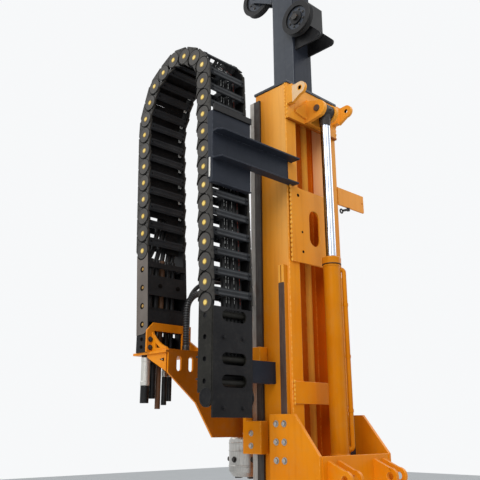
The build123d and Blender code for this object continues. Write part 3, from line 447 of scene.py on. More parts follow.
class Shape:
    """A bmesh with the few steps that the mast's pieces need."""

    def __init__(self) -> None:
        """Starts empty."""
        self.bm = bmesh.new()
        self.edge = self.bm.faces.layers.float.new("edge")

    def fresh(self, before: set[bmesh.types.BMFace], finish: int) -> list[bmesh.types.BMVert]:
        """Paints the faces that were not there before.

        Args:
            before: the faces that were there.
            finish: the material's place on the piece.

        Returns:
            The painted faces' vertices.
        """
        faces = [f for f in self.bm.faces if f not in before]
        for face in faces:
            face.material_index = finish
        return list({v for f in faces for v in f.verts})

    def round_edges(self, edges: list[bmesh.types.BMEdge], width: float, segments: int,
                    **more: bool) -> None:
        """Rounds some edges and marks the new faces as rubbed.

        Args:
            edges: the edges.
            width: the width of a rounded edge.
            segments: how many steps round an edge.
            more: further settings of the bevel.
        """
        made = bmesh.ops.bevel(self.bm, geom=edges, offset=width, affect="EDGES", segments=segments,
                               profile=0.5, material=-1, **more)
        for face in made["faces"]:
            face[self.edge] = 1.0

    def block(self, corner: Point, other: Point, bevel: float = 0.0, segments: int = 2,
              finish: int = 0) -> list[bmesh.types.BMVert]:
        """A block between two opposite corners, with rounded edges.

        Args:
            corner: a corner.
            other: the opposite corner.
            bevel: the width of its rounded edges.
            segments: how many steps round an edge.
            finish: the material's place on the piece.

        Returns:
            The block's vertices.
        """
        size = [abs(b - a) for a, b in zip(corner, other)]
        middle = [(a + b) / 2 for a, b in zip(corner, other)]
        before = set(self.bm.faces)
        verts = bmesh.ops.create_cube(self.bm, size=1.0)["verts"]
        matrix = Matrix.Translation(middle) @ Matrix.Diagonal((*size, 1.0))
        bmesh.ops.transform(self.bm, matrix=matrix, verts=verts)
        if bevel > 0:
            self.round_edges(list({e for v in verts for e in v.link_edges}), bevel, segments)
        return self.fresh(before, finish)

    def turned(self, profile: Sequence[tuple[float, float]], centre: Point, axis: Point, steps: int = 32,
               finish: int = 0) -> None:
        """A turned form from a profile of (radius, height) points.

        Args:
            profile: radii and heights along the axis, from the first end to the last.
            centre: where height 0 lies.
            axis: the way the height runs.
            steps: how many steps round it.
            finish: the material's place on the piece.
        """
        verts = [self.bm.verts.new((radius, 0.0, height)) for radius, height in profile]
        edges = [self.bm.edges.new(pair) for pair in zip(verts[:-1], verts[1:])]
        before = set(self.bm.faces)
        bmesh.ops.spin(self.bm, geom=verts + edges, cent=(0, 0, 0), axis=(0, 0, 1), angle=math.tau,
                       steps=steps, use_merge=True)
        bmesh.ops.remove_doubles(self.bm, verts=self.fresh(before, finish), dist=1e-6)
        found = self.fresh(before, finish)
        bmesh.ops.recalc_face_normals(self.bm, faces=[f for f in self.bm.faces if f not in before])
        matrix = Matrix.Translation(centre) @ upright_to(Vector(axis))
        bmesh.ops.transform(self.bm, matrix=matrix, verts=found)

    def slab(self, outline: Sequence[Point], rise: Point, bevel: float = 0.0, segments: int = 2,
             finish: int = 0) -> None:
        """A flat outline raised to a slab with rounded rims.

        Args:
            outline: the outline's corners in order.
            rise: the way and how far it is raised.
            bevel: the width of its rounded rims.
            segments: how many steps round a rim.
            finish: the material's place on the piece.
        """
        before = set(self.bm.faces)
        base = self.bm.faces.new([self.bm.verts.new(p) for p in outline])
        made = bmesh.ops.extrude_face_region(self.bm, geom=[base])
        top = [v for v in made["geom"] if isinstance(v, bmesh.types.BMVert)]
        bmesh.ops.translate(self.bm, verts=top, vec=rise)
        faces = [f for f in self.bm.faces if f not in before]
        bmesh.ops.recalc_face_normals(self.bm, faces=faces)
        if bevel > 0:
            away = Vector(rise).normalized()
            self.round_edges([e for e in {e for f in faces for e in f.edges}
                              if abs((e.verts[0].co - e.verts[1].co).normalized().dot(away)) < 0.5],
                             bevel, segments)
        self.fresh(before, finish)

    def add(self, mesh: bpy.types.Mesh, matrix: Matrix) -> None:
        """Adds a copy of a mesh.

        Args:
            mesh: the mesh to copy.
            matrix: where the copy goes.
        """
        count = len(self.bm.verts)
        self.bm.from_mesh(mesh)
        self.bm.verts.ensure_lookup_table()
        bmesh.ops.transform(self.bm, matrix=matrix, verts=self.bm.verts[count:])

    def to_mesh(self, name: str) -> bpy.types.Mesh:
        """Turns the form into a new mesh, which uses it up.

        Args:
            name: the mesh's name.

        Returns:
            The mesh.
        """
        mesh = bpy.data.meshes.new(name)
        self.bm.normal_update()
        self.bm.to_mesh(mesh)
        self.bm.free()
        return mesh

    def tube(self, route: Sequence[Point], radius: float, finish: int = 0, steps: int = 16) -> None:
        """A round tube along a smooth line through its control points.

        Args:
            route: the control points.
            radius: the tube's radius.
            finish: the material's place on the piece.
            steps: how many steps round it.
        """
        line = spline_points(route, TUBE_STEPS)
        before = set(self.bm.faces)
        across = Vector((1, 0, 0))
        last = None
        for index, spot in enumerate(line):
            ahead = (line[min(index + 1, len(line) - 1)] - line[max(index - 1, 0)]).normalized()
            turn = Matrix((across, across.cross(ahead), ahead)).transposed().to_4x4()
            made = bmesh.ops.create_circle(self.bm, cap_ends=index in (0, len(line) - 1), segments=steps,
                                           radius=radius, matrix=Matrix.Translation(spot) @ turn)
            ring = list({e for v in made["verts"] for e in v.link_edges})
            if last is not None:
                bmesh.ops.bridge_loops(self.bm, edges=last + ring)
            last = ring
        bmesh.ops.recalc_face_normals(self.bm, faces=[f for f in self.bm.faces if f not in before])
        self.fresh(before, finish)

    def ring(self, centre: Point, axis: Point, inner: float, outer: float, width: float) -> None:
        """A rounded ring between two radii, width wide along its axis."""
        w = width / 2
        self.turned([(inner, -w), (outer, -w * 0.55), (outer, w * 0.55), (inner, w)], centre, axis, 20)

    def bolt(self, centre: Point, axis: Point, across: float = 0.018, finish: int = 0) -> None:
        """A hexagon bolt's head with its washer.

        Args:
            centre: the middle of the face it sits on.
            axis: the way it stands up.
            across: the head's width over its corners.
            finish: the material's place on the piece.
        """
        r = across / 2
        self.turned(boss(r * 1.35, r * 0.22, r * 1.25, r * 0.28), centre, axis, 20, finish)
        self.turned([(0, r * 0.28), (r, r * 0.28), (r, r * 0.86), (r * 0.86, r), (0, r)], centre, axis, 6,
                    finish)

    def bead(self, start: Point, end: Point, width: float = 0.009, finish: int = 0,
             pitch: float = 0.62) -> None:
        """A weld bead of overlapping ripples between two points.

        Args:
            start: the bead's first end.
            end: the bead's last end.
            width: the bead's width.
            finish: the material's place on the piece.
            pitch: the ripples' spacing, as a share of the width.
        """
        a, b = Vector(start), Vector(end)
        count = max(2, int((b - a).length / (width * pitch)))
        turn = upright_to((b - a).normalized())
        for index in range(count + 1):
            spot = a.lerp(b, index / count)
            half = width * 0.5 * (0.82 + 0.3 * noise.noise(spot * 90.0))
            size = Matrix.Diagonal((half, half, width * max(0.55, pitch * 0.46), 1.0))
            made = bmesh.ops.create_icosphere(self.bm, subdivisions=1, radius=1.0,
                                              matrix=Matrix.Translation(spot) @ turn @ size)
            for face in {f for v in made["verts"] for f in v.link_faces}:
                face.material_index = finish


def upright_to(axis: Vector) -> Matrix:
    """The turn that lays the upright along an axis."""
    return Vector((0, 0, 1)).rotation_difference(axis).to_matrix().to_4x4()


def disc(radius: float, height: float) -> list[tuple[float, float]]:
    """The profile of a plain disc for Shape.turned."""
    return [(0, 0), (radius, 0), (radius, height), (0, height)]


def boss(radius: float, edge: float, top_radius: float, height: float,
         bore: float = 0.0) -> list[tuple[float, float]]:
    """The profile of a chamfered disc for Shape.turned.

    Args:
        radius: its radius.
        edge: the height where its chamfer starts.
        top_radius: the radius of its top.
        height: its height.
        bore: the radius of its hole.

    Returns:
        The profile's points.
    """
    return [(bore, 0), (radius, 0), (radius, edge), (top_radius, height), (bore, height)]


def arc(centre: tuple[float, float], radius: float, start: float, stop: float,
        steps: int) -> list[tuple[float, float]]:
    """Points on an arc between two angles in degrees."""
    turns = [math.radians(start + (stop - start) * step / steps) for step in range(steps + 1)]
    return [(centre[0] + radius * math.cos(turn), centre[1] + radius * math.sin(turn)) for turn in turns]


def spokes(count: int, first: float = 22.5, gap: float = 45.0) -> list[tuple[float, float]]:
    """The cosines and sines of some angles, the first and the gap in degrees."""
    turns = [math.radians(first + gap * index) for index in range(count)]
    return [(math.cos(turn), math.sin(turn)) for turn in turns]


def spline_points(route: Sequence[Point], steps: int) -> list[Vector]:
    """Points on the smooth curve that control points give: a clamped quadratic spline.

    Args:
        route: the control points.
        steps: how many steps each of its spans takes.

    Returns:
        The points.
    """
    spots = [Vector(p) for p in route]
    line = [spots[0]]
    start = spots[0]
    for index in range(1, len(spots) - 1):
        last = index == len(spots) - 2
        end = spots[-1] if last else (spots[index] + spots[index + 1]) / 2
        for step in range(1, steps + 1):
            t = step / steps
            line.append(start * (1 - t) ** 2 + spots[index] * 2 * t * (1 - t) + end * t ** 2)
        start = end
    return line


Step = Callable[[Shape], None]


def on(sides: Sequence[Side], method: Callable, *values: object) -> Step:
    """Makes a step that calls one of Shape's methods once for each side.

    Args:
        sides: the sides.
        method: the method.
        values: what it gets; each tuple of three is a point or direction given on the right side.

    Returns:
        The step.
    """
    def add(shape: Shape) -> None:
        """Adds the form on each side."""
        for side in sides:
            method(shape, *(side.at(v) if isinstance(v, tuple) and len(v) == 3 else v for v in values))
    return add


both = partial(on, tuple(Side))
once = partial(on, (Side.RIGHT,))


def painted(finish: int, test: Callable[[Vector, Vector], bool]) -> Step:
    """Makes a step that gives some faces another finish.

    Args:
        finish: the material's place on the piece.
        test: says by a face's middle and normal whether it gets the finish.

    Returns:
        The step.
    """
    def paint(shape: Shape) -> None:
        """Paints the faces that pass the test."""
        for face in shape.bm.faces:
            if test(face.calc_center_median(), face.normal):
                face.material_index = finish
    return paint


def riding(name: str, data: bpy.types.Mesh | bpy.types.Curve, body: str,
           finishes: Sequence[str]) -> bpy.types.Object:
    """Makes a piece that rides on a body.

    Args:
        name: the piece's name.
        data: its mesh or curve.
        body: the body it moves with.
        finishes: the names of its finishes, in the order of its material places.

    Returns:
        The new object.
    """
    for finish in finishes:
        data.materials.append(FINISH[finish])
    piece = bpy.data.objects.new(name, data)
    bpy.context.scene.collection.objects.link(piece)
    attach(piece, body)
    return piece


def place(name: str, shape: Shape, body: str, finishes: Sequence[str],
          replaced: Sequence[str] = ()) -> bpy.types.Object:
    """Turns a shape into a smoothly shaded piece.

    Args:
        name: the piece's name.
        shape: the form, which is used up.
        body: the body it moves with.
        finishes: the names of its finishes, in the order of its material places.
        replaced: the frame's nodes that it stands for.

    Returns:
        The new object.
    """
    mesh = shape.to_mesh(name)
    mesh.shade_smooth()
    mesh.set_sharp_from_angle(angle=math.radians(SMOOTH_UNDER))
    piece = riding(name, mesh, body, finishes)
    piece.modifiers.new("even_normals", "WEIGHTED_NORMAL").keep_sharp = True
    if replaced:
        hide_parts(*replaced)
    LOG.info("%s: %d faces", name, len(mesh.polygons))
    return piece


def softened(node: str, width: float) -> Shape:
    """A copy of a node with its sharp edges rounded.

    Args:
        node: the frame's node.
        width: the width of a rounded edge.

    Returns:
        The rounded form.
    """
    shape = Shape()
    bm = shape.bm
    bm.from_mesh(frame["nodes"][node].data)
    bmesh.ops.remove_doubles(bm, verts=bm.verts, dist=2e-6)
    bmesh.ops.dissolve_limit(bm, angle_limit=math.radians(0.6), verts=bm.verts, edges=bm.edges)
    shape.edge = bm.faces.layers.float.get("edge") or bm.faces.layers.float.new("edge")
    sharp = [e for e in bm.edges if e.is_manifold and e.calc_face_angle(0.0) > math.radians(SHARP_OVER)]
    shape.round_edges(sharp, width, 2, clamp_overlap=True, loop_slide=True)
    for face in bm.faces:
        face.material_index = 0
    return shape


def body_of(node: str) -> str:
    """The body that a node belongs to."""
    bodies = frame["record"]["behaviour"]["bodies"]
    return next(body for body, nodes in bodies.items() if node in nodes)


def dressed(node: str, finishes: Sequence[str], width: float, *steps: Step) -> None:
    """Rounds and paints one of the frame's nodes, and adds its small parts.

    Args:
        node: the node's name.
        finishes: the finishes of the piece, the node's own first.
        width: the width of its rounded edges.
        steps: the steps that paint it and add bolts, seams and the like.
    """
    shape = softened(node, width)
    for step in steps:
        step(shape)
    place(node + "_piece", shape, body_of(node), finishes, [node])


@dataclass
class Studio:
    """The camera where the photographer stood, a pale floor and soft plain light."""

    eye: Point = (-2.772, -2.001, 0.784)
    heading: float = 46.065
    rise: float = 18.107
    roll: float = -0.152
    focal_pixels: float = 657.02
    frame_pixels: float = 480.0
    centre_row: float = 213.5
    floor_level: float = -0.78
    sensor: float = 36.0

    def build(self) -> None:
        """Makes the camera, the lamps, the floor and the background."""
        scene = bpy.context.scene
        scene.view_settings.view_transform = "Standard"
        data = bpy.data.cameras.new("photographer")
        camera = bpy.data.objects.new("photographer", data)
        scene.collection.objects.link(camera)
        scene.camera = camera
        a, t, r = (math.radians(v) for v in (self.heading, self.rise, self.roll))
        level = Vector((math.cos(a), math.sin(a), 0.0))
        right = Vector((math.sin(a), -math.cos(a), 0.0))
        ahead = level * math.cos(t) + Vector((0, 0, math.sin(t)))
        up = Vector((0, 0, math.cos(t))) - level * math.sin(t)
        right, up = right * math.cos(r) + up * math.sin(r), up * math.cos(r) - right * math.sin(r)
        turn = Matrix((right, up, -ahead)).transposed().to_4x4()
        camera.matrix_world = Matrix.Translation(self.eye) @ turn
        data.sensor_width = self.sensor
        data.lens = self.sensor * self.focal_pixels / self.frame_pixels
        data.shift_y = (self.centre_row - self.frame_pixels / 2) / self.frame_pixels
        data.clip_end = 200.0
        for lamp in (("sky_left", (-7.5, -2.5, 6.5), (0.0, 0.3, 1.6), 5.0, 520.0),
                     ("sky_back", (-1.5, -7.5, 5.5), (0.0, 0.2, 1.4), 4.0, 105.0),
                     ("sky_right", (5.0, -1.0, 5.0), (0.0, 0.2, 1.8), 4.0, 90.0),
                     ("sky_front", (-2.0, 7.0, 6.0), (0.0, 0.3, 1.4), 5.0, 160.0)):
            self.lamp(*lamp)
        self.background()

    def lamp(self, name: str, place_at: Point, target: Point, size: float, power: float) -> None:
        """A square lamp that points at a target.

        Args:
            name: the lamp's name.
            place_at: where it hangs.
            target: what it points at.
            size: its width.
            power: its power in watts.
        """
        data = bpy.data.lights.new(name, "AREA")
        data.size = size
        data.energy = power
        lamp = bpy.data.objects.new(name, data)
        bpy.context.scene.collection.objects.link(lamp)
        aim = Vector(target) - Vector(place_at)
        lamp.matrix_world = Matrix.Translation(place_at) @ aim.to_track_quat("-Z", "Y").to_matrix().to_4x4()

    def background(self) -> None:
        """A white sky that lights softly, and a pale floor."""
        sky = Graph(bpy.data.worlds.new("pale_sky"))
        bpy.context.scene.world = sky.owner
        shown = sky.node("ShaderNodeBackground", {}, {"Color": (0.93, 0.94, 0.95, 1.0), "Strength": 1.0})
        lit = sky.node("ShaderNodeBackground", {}, {"Color": (0.9, 0.95, 1.0, 1.0), "Strength": 0.55})
        seen, mirrored, through = (sky.node("ShaderNodeLightPath", {}, {}, f"Is {kind} Ray")
                                   for kind in ("Camera", "Glossy", "Transmission"))
        shares = {0: seen.math("MAXIMUM", mirrored).math("MAXIMUM", through), 1: lit, 2: shown}
        sky.end("ShaderNodeOutputWorld", sky.node("ShaderNodeMixShader", {}, shares))
        shape = Shape()
        shape.block((-20.0, -20.0, self.floor_level - 0.02), (20.0, 20.0, self.floor_level))
        mesh = shape.to_mesh("pale_floor")
        graph = Graph(bpy.data.materials.new("floor_paint"))
        mottle = graph.mix(graph.noise(0.8, 4.0), (0.74, 0.74, 0.73), (0.8, 0.8, 0.79))
        mesh.materials.append(graph.dress({"Roughness": 0.9}, Base_Color=mottle))
        floor = bpy.data.objects.new("pale_floor", mesh)
        bpy.context.scene.collection.objects.link(floor)


@dataclass
class HoseChain:
    """The hose chain: moulded links with pin caps, crossbars, dividers and the hoses inside."""

    pitch: float = 0.1
    left: float = -0.755
    width: float = 0.265
    root: tuple[float, float] = (0.33, 1.35)
    lean: float = 2.4
    runs: tuple[int, int] = (13, 7)
    bends: tuple[float, ...] = (43.0, 62.0, 79.0, 116.0, 124.0, 158.0, 160.0, 178.0)
    layer: float = 0.009
    disc: float = 0.048
    gap: float = 0.0095
    tongue: float = 0.046
    back: float = 0.0575
    cap: float = 0.0158
    shelf: float = 0.024
    open_left: float = 0.14
    shut_left: float = 0.02
    open_right: float = 0.036
    hose_start: float = 0.25
    hose_end: float = 0.042
    hose_radius: float = 0.014
    hoses: tuple[float, ...] = (0.435, 0.55, 0.665, 0.78, 0.895)
    entries: tuple[float, ...] = (0.1, 0.32, 0.48, 0.65, 0.79)
    marks: tuple[tuple[float, float, int], ...] = (
        (0.455, 0.003, 7), (0.53, 0.0018, 7), (0.69, 0.0026, 7), (0.86, 0.0022, 8))

    def across(self, share: float) -> float:
        """The place of a share of the room between the two sides."""
        return self.left + 2 * self.layer + share * (self.width - 4 * self.layer)

    def pins(self) -> tuple[list[tuple[float, float]], list[float]]:
        """Finds the pins.

        Returns:
            The (y, z) places of the pins, and each link's turn in degrees.
        """
        turns = [self.lean] * self.runs[0] + list(self.bends) + [180.0 + self.lean] * self.runs[1]
        places = [self.root]
        for turn in turns:
            y, z = places[-1]
            angle = math.radians(turn)
            places.append((y + self.pitch * math.sin(angle), z + self.pitch * math.cos(angle)))
        return places, turns

    def side_plate(self, shape: Shape, outer: float, sign: int) -> None:
        """Adds one side of a link: its outer layer, its tongue, the disc's cover and the pin's cap.

        Args:
            shape: the form to add to.
            outer: the side's outer face.
            sign: 1 on the left side and -1 on the right.
        """
        p = self.pitch
        outline = [(-self.back, 0.004), (-self.back, p - 0.004)]
        outline += arc((0, p), self.disc, 184.8, -28.0, 30)
        outline += arc((0, 0), self.disc + self.gap, 14.0, 92.0, 12)
        outline += arc((0, 0), self.disc + 0.0016, 104.0, 175.6, 10)
        shape.slab([(outer, b, a) for b, a in outline], (sign * self.layer, 0, 0), 0.0013, 2, 0)
        inner = arc((0, 0), self.tongue, 180.0, 360.0, 20)
        inner += [(self.tongue, 0.048), (-self.tongue, 0.048)]
        step = outer + sign * self.layer
        # painted shade: the tongue's near-black layer shows as the dark slit between links
        shape.slab([(step, b, a) for b, a in inner], (sign * self.layer, 0, 0), 0.001, 1, 1)
        self.pin_cover(shape, (outer, 0, p), (-sign, 0, 0))
        for b0, a0 in ((-0.0555, p - 0.003), (-0.047, 0.012)):
            shape.block((outer + sign * 0.001, b0, a0), (outer + sign * 0.008, b0 + 0.004, a0 + 0.006),
                        0.0006, 1, 5)
        for b, a in ((-0.0475, 0.05), (0.0385, 0.044)):
            shape.turned(boss(0.0052, 0.001, 0.0044, 0.0016), (outer, b, a), (-sign, 0, 0), 14, 0)

    def pin_cover(self, shape: Shape, face: Point, away: Point,
                  kinds: Sequence[int] = (2, 1, 3, 4)) -> None:
        """Adds the disc over a pin with its dark rim, its ring and its pale cap.

        Args:
            shape: the form to add to.
            face: the middle of the face it sits on.
            away: the way it stands up.
            kinds: the places of the disc's, the rim's, the ring's and the cap's materials.
        """
        plate, rim, ring, middle = kinds
        shape.turned([(0, 0), (0.0442, 0), (0.0442, 0.001), (0.0432, 0.002), (0.0352, 0.0018),
                      (0.0346, 0.0012), (0.0334, 0.0012), (0.0328, 0.0018), (0.0185, 0.0018),
                      (0.0175, 0.0008), (0, 0.0008)],
                     face, away, 36, plate)
        shape.turned([(0.044, 0), (0.044, 0.0006), (0.0468, 0.0006), (0.0468, 0)], face, away, 36, rim)
        c = self.cap
        shape.turned([(0, 0.0008), (c, 0.0008), (c, 0.0016), (c - 0.0008, 0.0022), (c * 0.74, 0.0022),
                      (0, 0.0022)],
                     face, away, 26, ring)
        shape.turned([(0, 0.002), (c * 0.72, 0.002), (c * 0.66, 0.0029), (0, 0.0031)], face, away, 22,
                     middle)

    def crossbar(self, shape: Shape, low: float, high: float, height: float, proud: int) -> None:
        """Adds a ribbed crossbar with its end clips.

        Args:
            shape: the form to add to.
            low: its near face across the chain.
            high: its far face across the chain.
            height: its height along the chain.
            proud: the way its ribs stand, -1 or 1.
        """
        x0, x1 = self.left + self.layer, self.left + self.width - self.layer
        a0, a1 = (self.pitch - height) / 2, (self.pitch + height) / 2
        shape.block((x0, low, a0), (x1, high, a1), 0.0016, 2, 5)
        face = high if proud > 0 else low
        foot, tip = face - proud * 0.001, face + proud * 0.003
        for share in (0.2, 0.72):
            a = a0 + share * height
            shape.block((x0 + 0.024, foot, a - 0.0046), (x1 - 0.024, face + proud * 0.0018, a + 0.0046),
                        0.0014, 1, 6 if proud < 0 else 5)
        for x in (x0 + 0.013, x1 - 0.013):
            shape.block((x - 0.0095, foot, a0 + 0.006), (x + 0.0095, tip, a1 - 0.006), 0.0018, 2, 5)
            shape.turned([(0, 0), (0.0058, 0), (0.0058, 0.0016), (0.005, 0.0024), (0.0022, 0.0024),
                          (0.0018, 0.001), (0, 0.001)],
                         (x, tip, self.pitch / 2), (0, proud, 0), 14, 1)

    def link(self, gap: float) -> bpy.types.Mesh:
        """Builds one link at the origin, its length along Z.

        Args:
            gap: how far its shelf stays off the left side.

        Returns:
            The link's mesh.
        """
        shape = Shape()
        for outer, sign in ((self.left, 1), (self.left + self.width, -1)):
            self.side_plate(shape, outer, sign)
        self.crossbar(shape, -self.back, -self.back + self.layer, 0.038, -1)
        self.crossbar(shape, self.tongue - self.layer, self.tongue, 0.044, 1)
        far = self.left + self.width - self.open_right
        # painted shade: a near-black shelf inside the link hides the view through it
        shape.block((self.left + gap, self.shelf, 0.001), (far, self.shelf + 0.002, self.pitch - 0.001),
                    0, 1, 1)
        if gap == self.shut_left:
            lip = self.shelf + 0.006
            # painted light: a pale block at the shelf's far end stands for the glints between the links
            shape.block((far - 0.002, self.shelf, 0.06), (far + 0.022, lip, 0.084), 0.004, 2, 7)
            shape.turned(disc(0.0045, 0.001), (far + 0.01, lip, 0.072), (0, 1, 0), 12, 1)
        for share in (0.375, 0.492, 0.722, 0.95):
            x = self.across(share)
            shape.block((x - 0.0015, -self.back + self.layer, 0.036),
                        (x + 0.0015, self.tongue - self.layer, 0.064), 0.0006, 1, 5)
        for share, width, finish in self.marks:
            x = self.across(share)
            for start, stop in ((0.01, 0.026), (0.031, 0.044), (0.056, 0.072), (0.077, 0.092)):
                shape.block((x - width / 2, -0.0152, start), (x + width / 2, -0.0138, stop), 0, 1, finish)
        return shape.to_mesh("link")

    def build(self) -> None:
        """Places every link, run by run, and lays the hoses."""
        links = {True: self.link(self.open_left), False: self.link(self.shut_left)}
        places, turns = self.pins()
        first, last = self.runs[0], len(turns) - self.runs[1]
        finishes = ("chain_plastic", "chain_inner_plastic", "link_disc_plastic", "pin_cap_plastic",
                    "pin_centre_plastic", "crossbar_plastic", "crossbar_rib_plastic", "hose_mark",
                    "red_mark")
        for name, start, stop in (("chain_fixed_run", 0, first), ("chain_bend", first, last),
                                  ("chain_moving_run", last, len(turns))):
            shape = Shape()
            for index in range(start, stop):
                y, z = places[index]
                lit = index < first or index >= len(turns) - 2
                turn = Matrix.Rotation(-math.radians(turns[index]), 4, "X")
                shape.add(links[lit], Matrix.Translation((0, y, z)) @ turn)
            place(name + "_links", shape, body_of(name), finishes, [name])
        self.lay_hoses(places)

    def lay_hoses(self, places: Sequence[tuple[float, float]]) -> None:
        """Lays the hoses through the chain.

        Args:
            places: the (y, z) places of the chain's pins.
        """
        shape = Shape()
        turn = math.radians(180.0 + self.lean)
        last = (places[-1][0] + self.hose_end * math.sin(turn),
                places[-1][1] + self.hose_end * math.cos(turn))
        spots = [*places, last]
        for index, (share, end) in enumerate(zip(self.hoses, self.entries)):
            x, entry = self.across(share), self.across(end)
            route = [(x, self.root[0], self.root[1] - self.hose_start)]
            for number, (y, z) in enumerate(spots):
                bent = max(0.0, (number - len(spots) + 4) / 3)
                route.append((x + (entry - x) * bent + 0.002 * math.sin(2.1 * number + 1.7 * index), y, z))
            shape.tube(route, self.hose_radius, 0, 18)
        place("chain_hoses_piece", shape, body_of("chain_hoses"), ("hose_cover",), ["chain_hoses"])


@dataclass
class EndBrackets:
    """The brackets at the chain's two ends, with their screws and the hoses below the moving end."""

    left: float = -0.755
    width: float = 0.265
    front: float = 0.274
    moving_pin: tuple[float, float] = (0.8577, 1.7023)
    lean: float = 183.6
    grey_foot: float = 1.262
    rows: tuple[tuple[float, float, float], ...] = (
        (-0.714, 0.0235, 0.907), (-0.668, 0.017, 0.93), (-0.63, 0.015, 0.88), (-0.59, 0.015, 0.9),
        (-0.557, 0.014, 0.92))
    hose_y: float = 0.842
    hose_top: float = 1.662

    def build(self) -> None:
        """Dresses both brackets and lays the hoses."""
        dressed("fixed_end_bracket", ("bracket_plastic", "black_steel", "warm_grey_plastic",
                                      "link_disc_plastic", "pin_cap_plastic", "pin_centre_plastic"), 0.0018,
                painted(2, lambda spot, way: abs(way.x) > 0.6), self.fixed_details)
        dressed("moving_end_bracket", ("moving_bracket_plastic", "hole_dark", "bush_bronze",
                                       "bracket_plastic"), 0.0018,
                # painted shade: all but the sides' outer faces above grey_foot are near-black
                painted(3, lambda spot, way: abs(way.x) < 0.6 or spot.z < self.grey_foot
                        or self.left + 0.003 < spot.x < self.left + self.width - 0.003),
                self.moving_details)
        self.lay_hoses()

    def faces(self, depth: float = 0) -> tuple[tuple[float, int], ...]:
        """The brackets' two sides, depth inside their outer faces, each with the way it looks."""
        return (self.left + depth, -1), (self.left + self.width - depth, 1)

    def fixed_details(self, shape: Shape) -> None:
        """Adds the front plate's bolts, the bars and the black plates behind its slots, the pin covers and
        the sides' holes, with a dark disc in the first hole; the plates and the disc are painted shade.

        Args:
            shape: the form to add to.
        """
        for x in (-0.686, -0.563):
            for z in (1.188, 0.872):
                shape.bolt((x, self.front, z), (0, -1, 0), 0.017)
        for z in (1.296, 1.086, 0.978):
            shape.turned(disc(0.016, 0.19), (-0.72, self.front + 0.03, z + 0.006), (1, 0, 0), 20, 2)
            # painted shade: a black plate behind each slot
            shape.block((-0.735, self.front + 0.05, z - 0.04), (-0.515, self.front + 0.053, z + 0.04))
        chain = HoseChain()
        for x, way in self.faces():
            chain.pin_cover(shape, (x, *chain.root), (way, 0, 0), (3, 0, 4, 5))
            shape.turned([(0, 0), (0.04, 0), (0.04, 0.001), (0.039, 0.0016), (0.034, 0.0016),
                          (0.0335, 0.0006), (0, 0.0006)],
                         (x, 0.319, 0.92), (way, 0, 0), 36)
        # painted shade: a dark disc in the first hole
        shape.turned(disc(0.015, 0.001), (self.left + 0.004, 0.331, 1.289), (-1, 0, 0), 20)
        for z in (1.289, 1.189, 1.088, 0.989):
            for x, way in self.faces(0.011):
                shape.turned([(0, -0.004), (0.0135, -0.004), (0.0135, 0), (0.005, 0), (0.004, -0.002),
                              (0, -0.002)],
                             (x, 0.331, z), (way, 0, 0), 18)

    def moving_details(self, shape: Shape) -> None:
        """Adds the bronze bushes in the sides' holes and the bolts of the inner plate and the foot.

        Args:
            shape: the form to add to.
        """
        y0, z0 = self.moving_pin
        turn = math.radians(self.lean)
        for drop in (0.104, 0.206, 0.305, 0.403):
            y, z = y0 + drop * math.sin(turn), z0 + drop * math.cos(turn)
            for x, way in self.faces():
                # painted shade: a near-black disc in each hole, under its bush
                shape.turned(boss(0.0166, 0.0005, 0.0156, 0.0008), (x, y, z), (way, 0, 0), 24, 1)
                shape.turned([(0, 0.0008), (0.0086, 0.0008), (0.0078, 0.0012), (0, 0.0012)],
                             (x, y - 0.006, z), (way, 0, 0), 18, 2)
        plate_y = y0 + 0.195 * math.sin(turn) + 0.049 * math.cos(turn)
        for x in (-0.673, -0.553):
            shape.bolt((x, plate_y - 0.001, 1.51), (0, -1, -0.06), 0.018, 1)
        for x, way in ((self.left + 0.003, -1), (self.left + self.width - 0.008, 1)):
            for z in (1.185, 1.225):
                shape.bolt((x, 0.835, z), (way, 0, 0), 0.014, 1)

    def lay_hoses(self) -> None:
        """Lays the hoses that leave the chain through the shelf, with their sleeves."""
        shape = Shape()
        y, up = self.hose_y, (0, 0, 1)
        for index, (x, radius, low) in enumerate(self.rows):
            route = [(x, y, self.hose_top), (x + 0.001, y, 1.4), (x, y, 1.2), (x, y, 1.1), (x, y, low)]
            r = radius * 0.95
            shape.tube(route, r, 1 if index == 2 else 0, 20)
            if index >= 3:
                shape.turned([(r, 0), (r + 0.002, 0.002), (r + 0.002, 0.03), (r, 0.034)], (x, y, 1.043), up,
                             24, 3)
        x, r, _ = self.rows[0]
        shape.turned([(r * 0.9, 0), (r + 0.0005, 0.002), (r + 0.0005, 0.02), (r - 0.001, 0.022),
                      (r - 0.001, 0.12), (r + 0.0005, 0.122), (r + 0.0005, 0.14), (r * 0.9, 0.144)],
                     (x, y, 0.992), up, 32, 2)
        x, r, _ = self.rows[1]
        for ring in range(22):
            shape.ring((x, y, 0.934 + 0.0085 * ring), up, r * 0.93, r * 1.06, 0.0055)
        place("head_hoses_piece", shape, body_of("head_hoses"),
              ("hose_cover", "brown_hose_cover", "ferrule_steel", "zinc_steel"), ["head_hoses"])


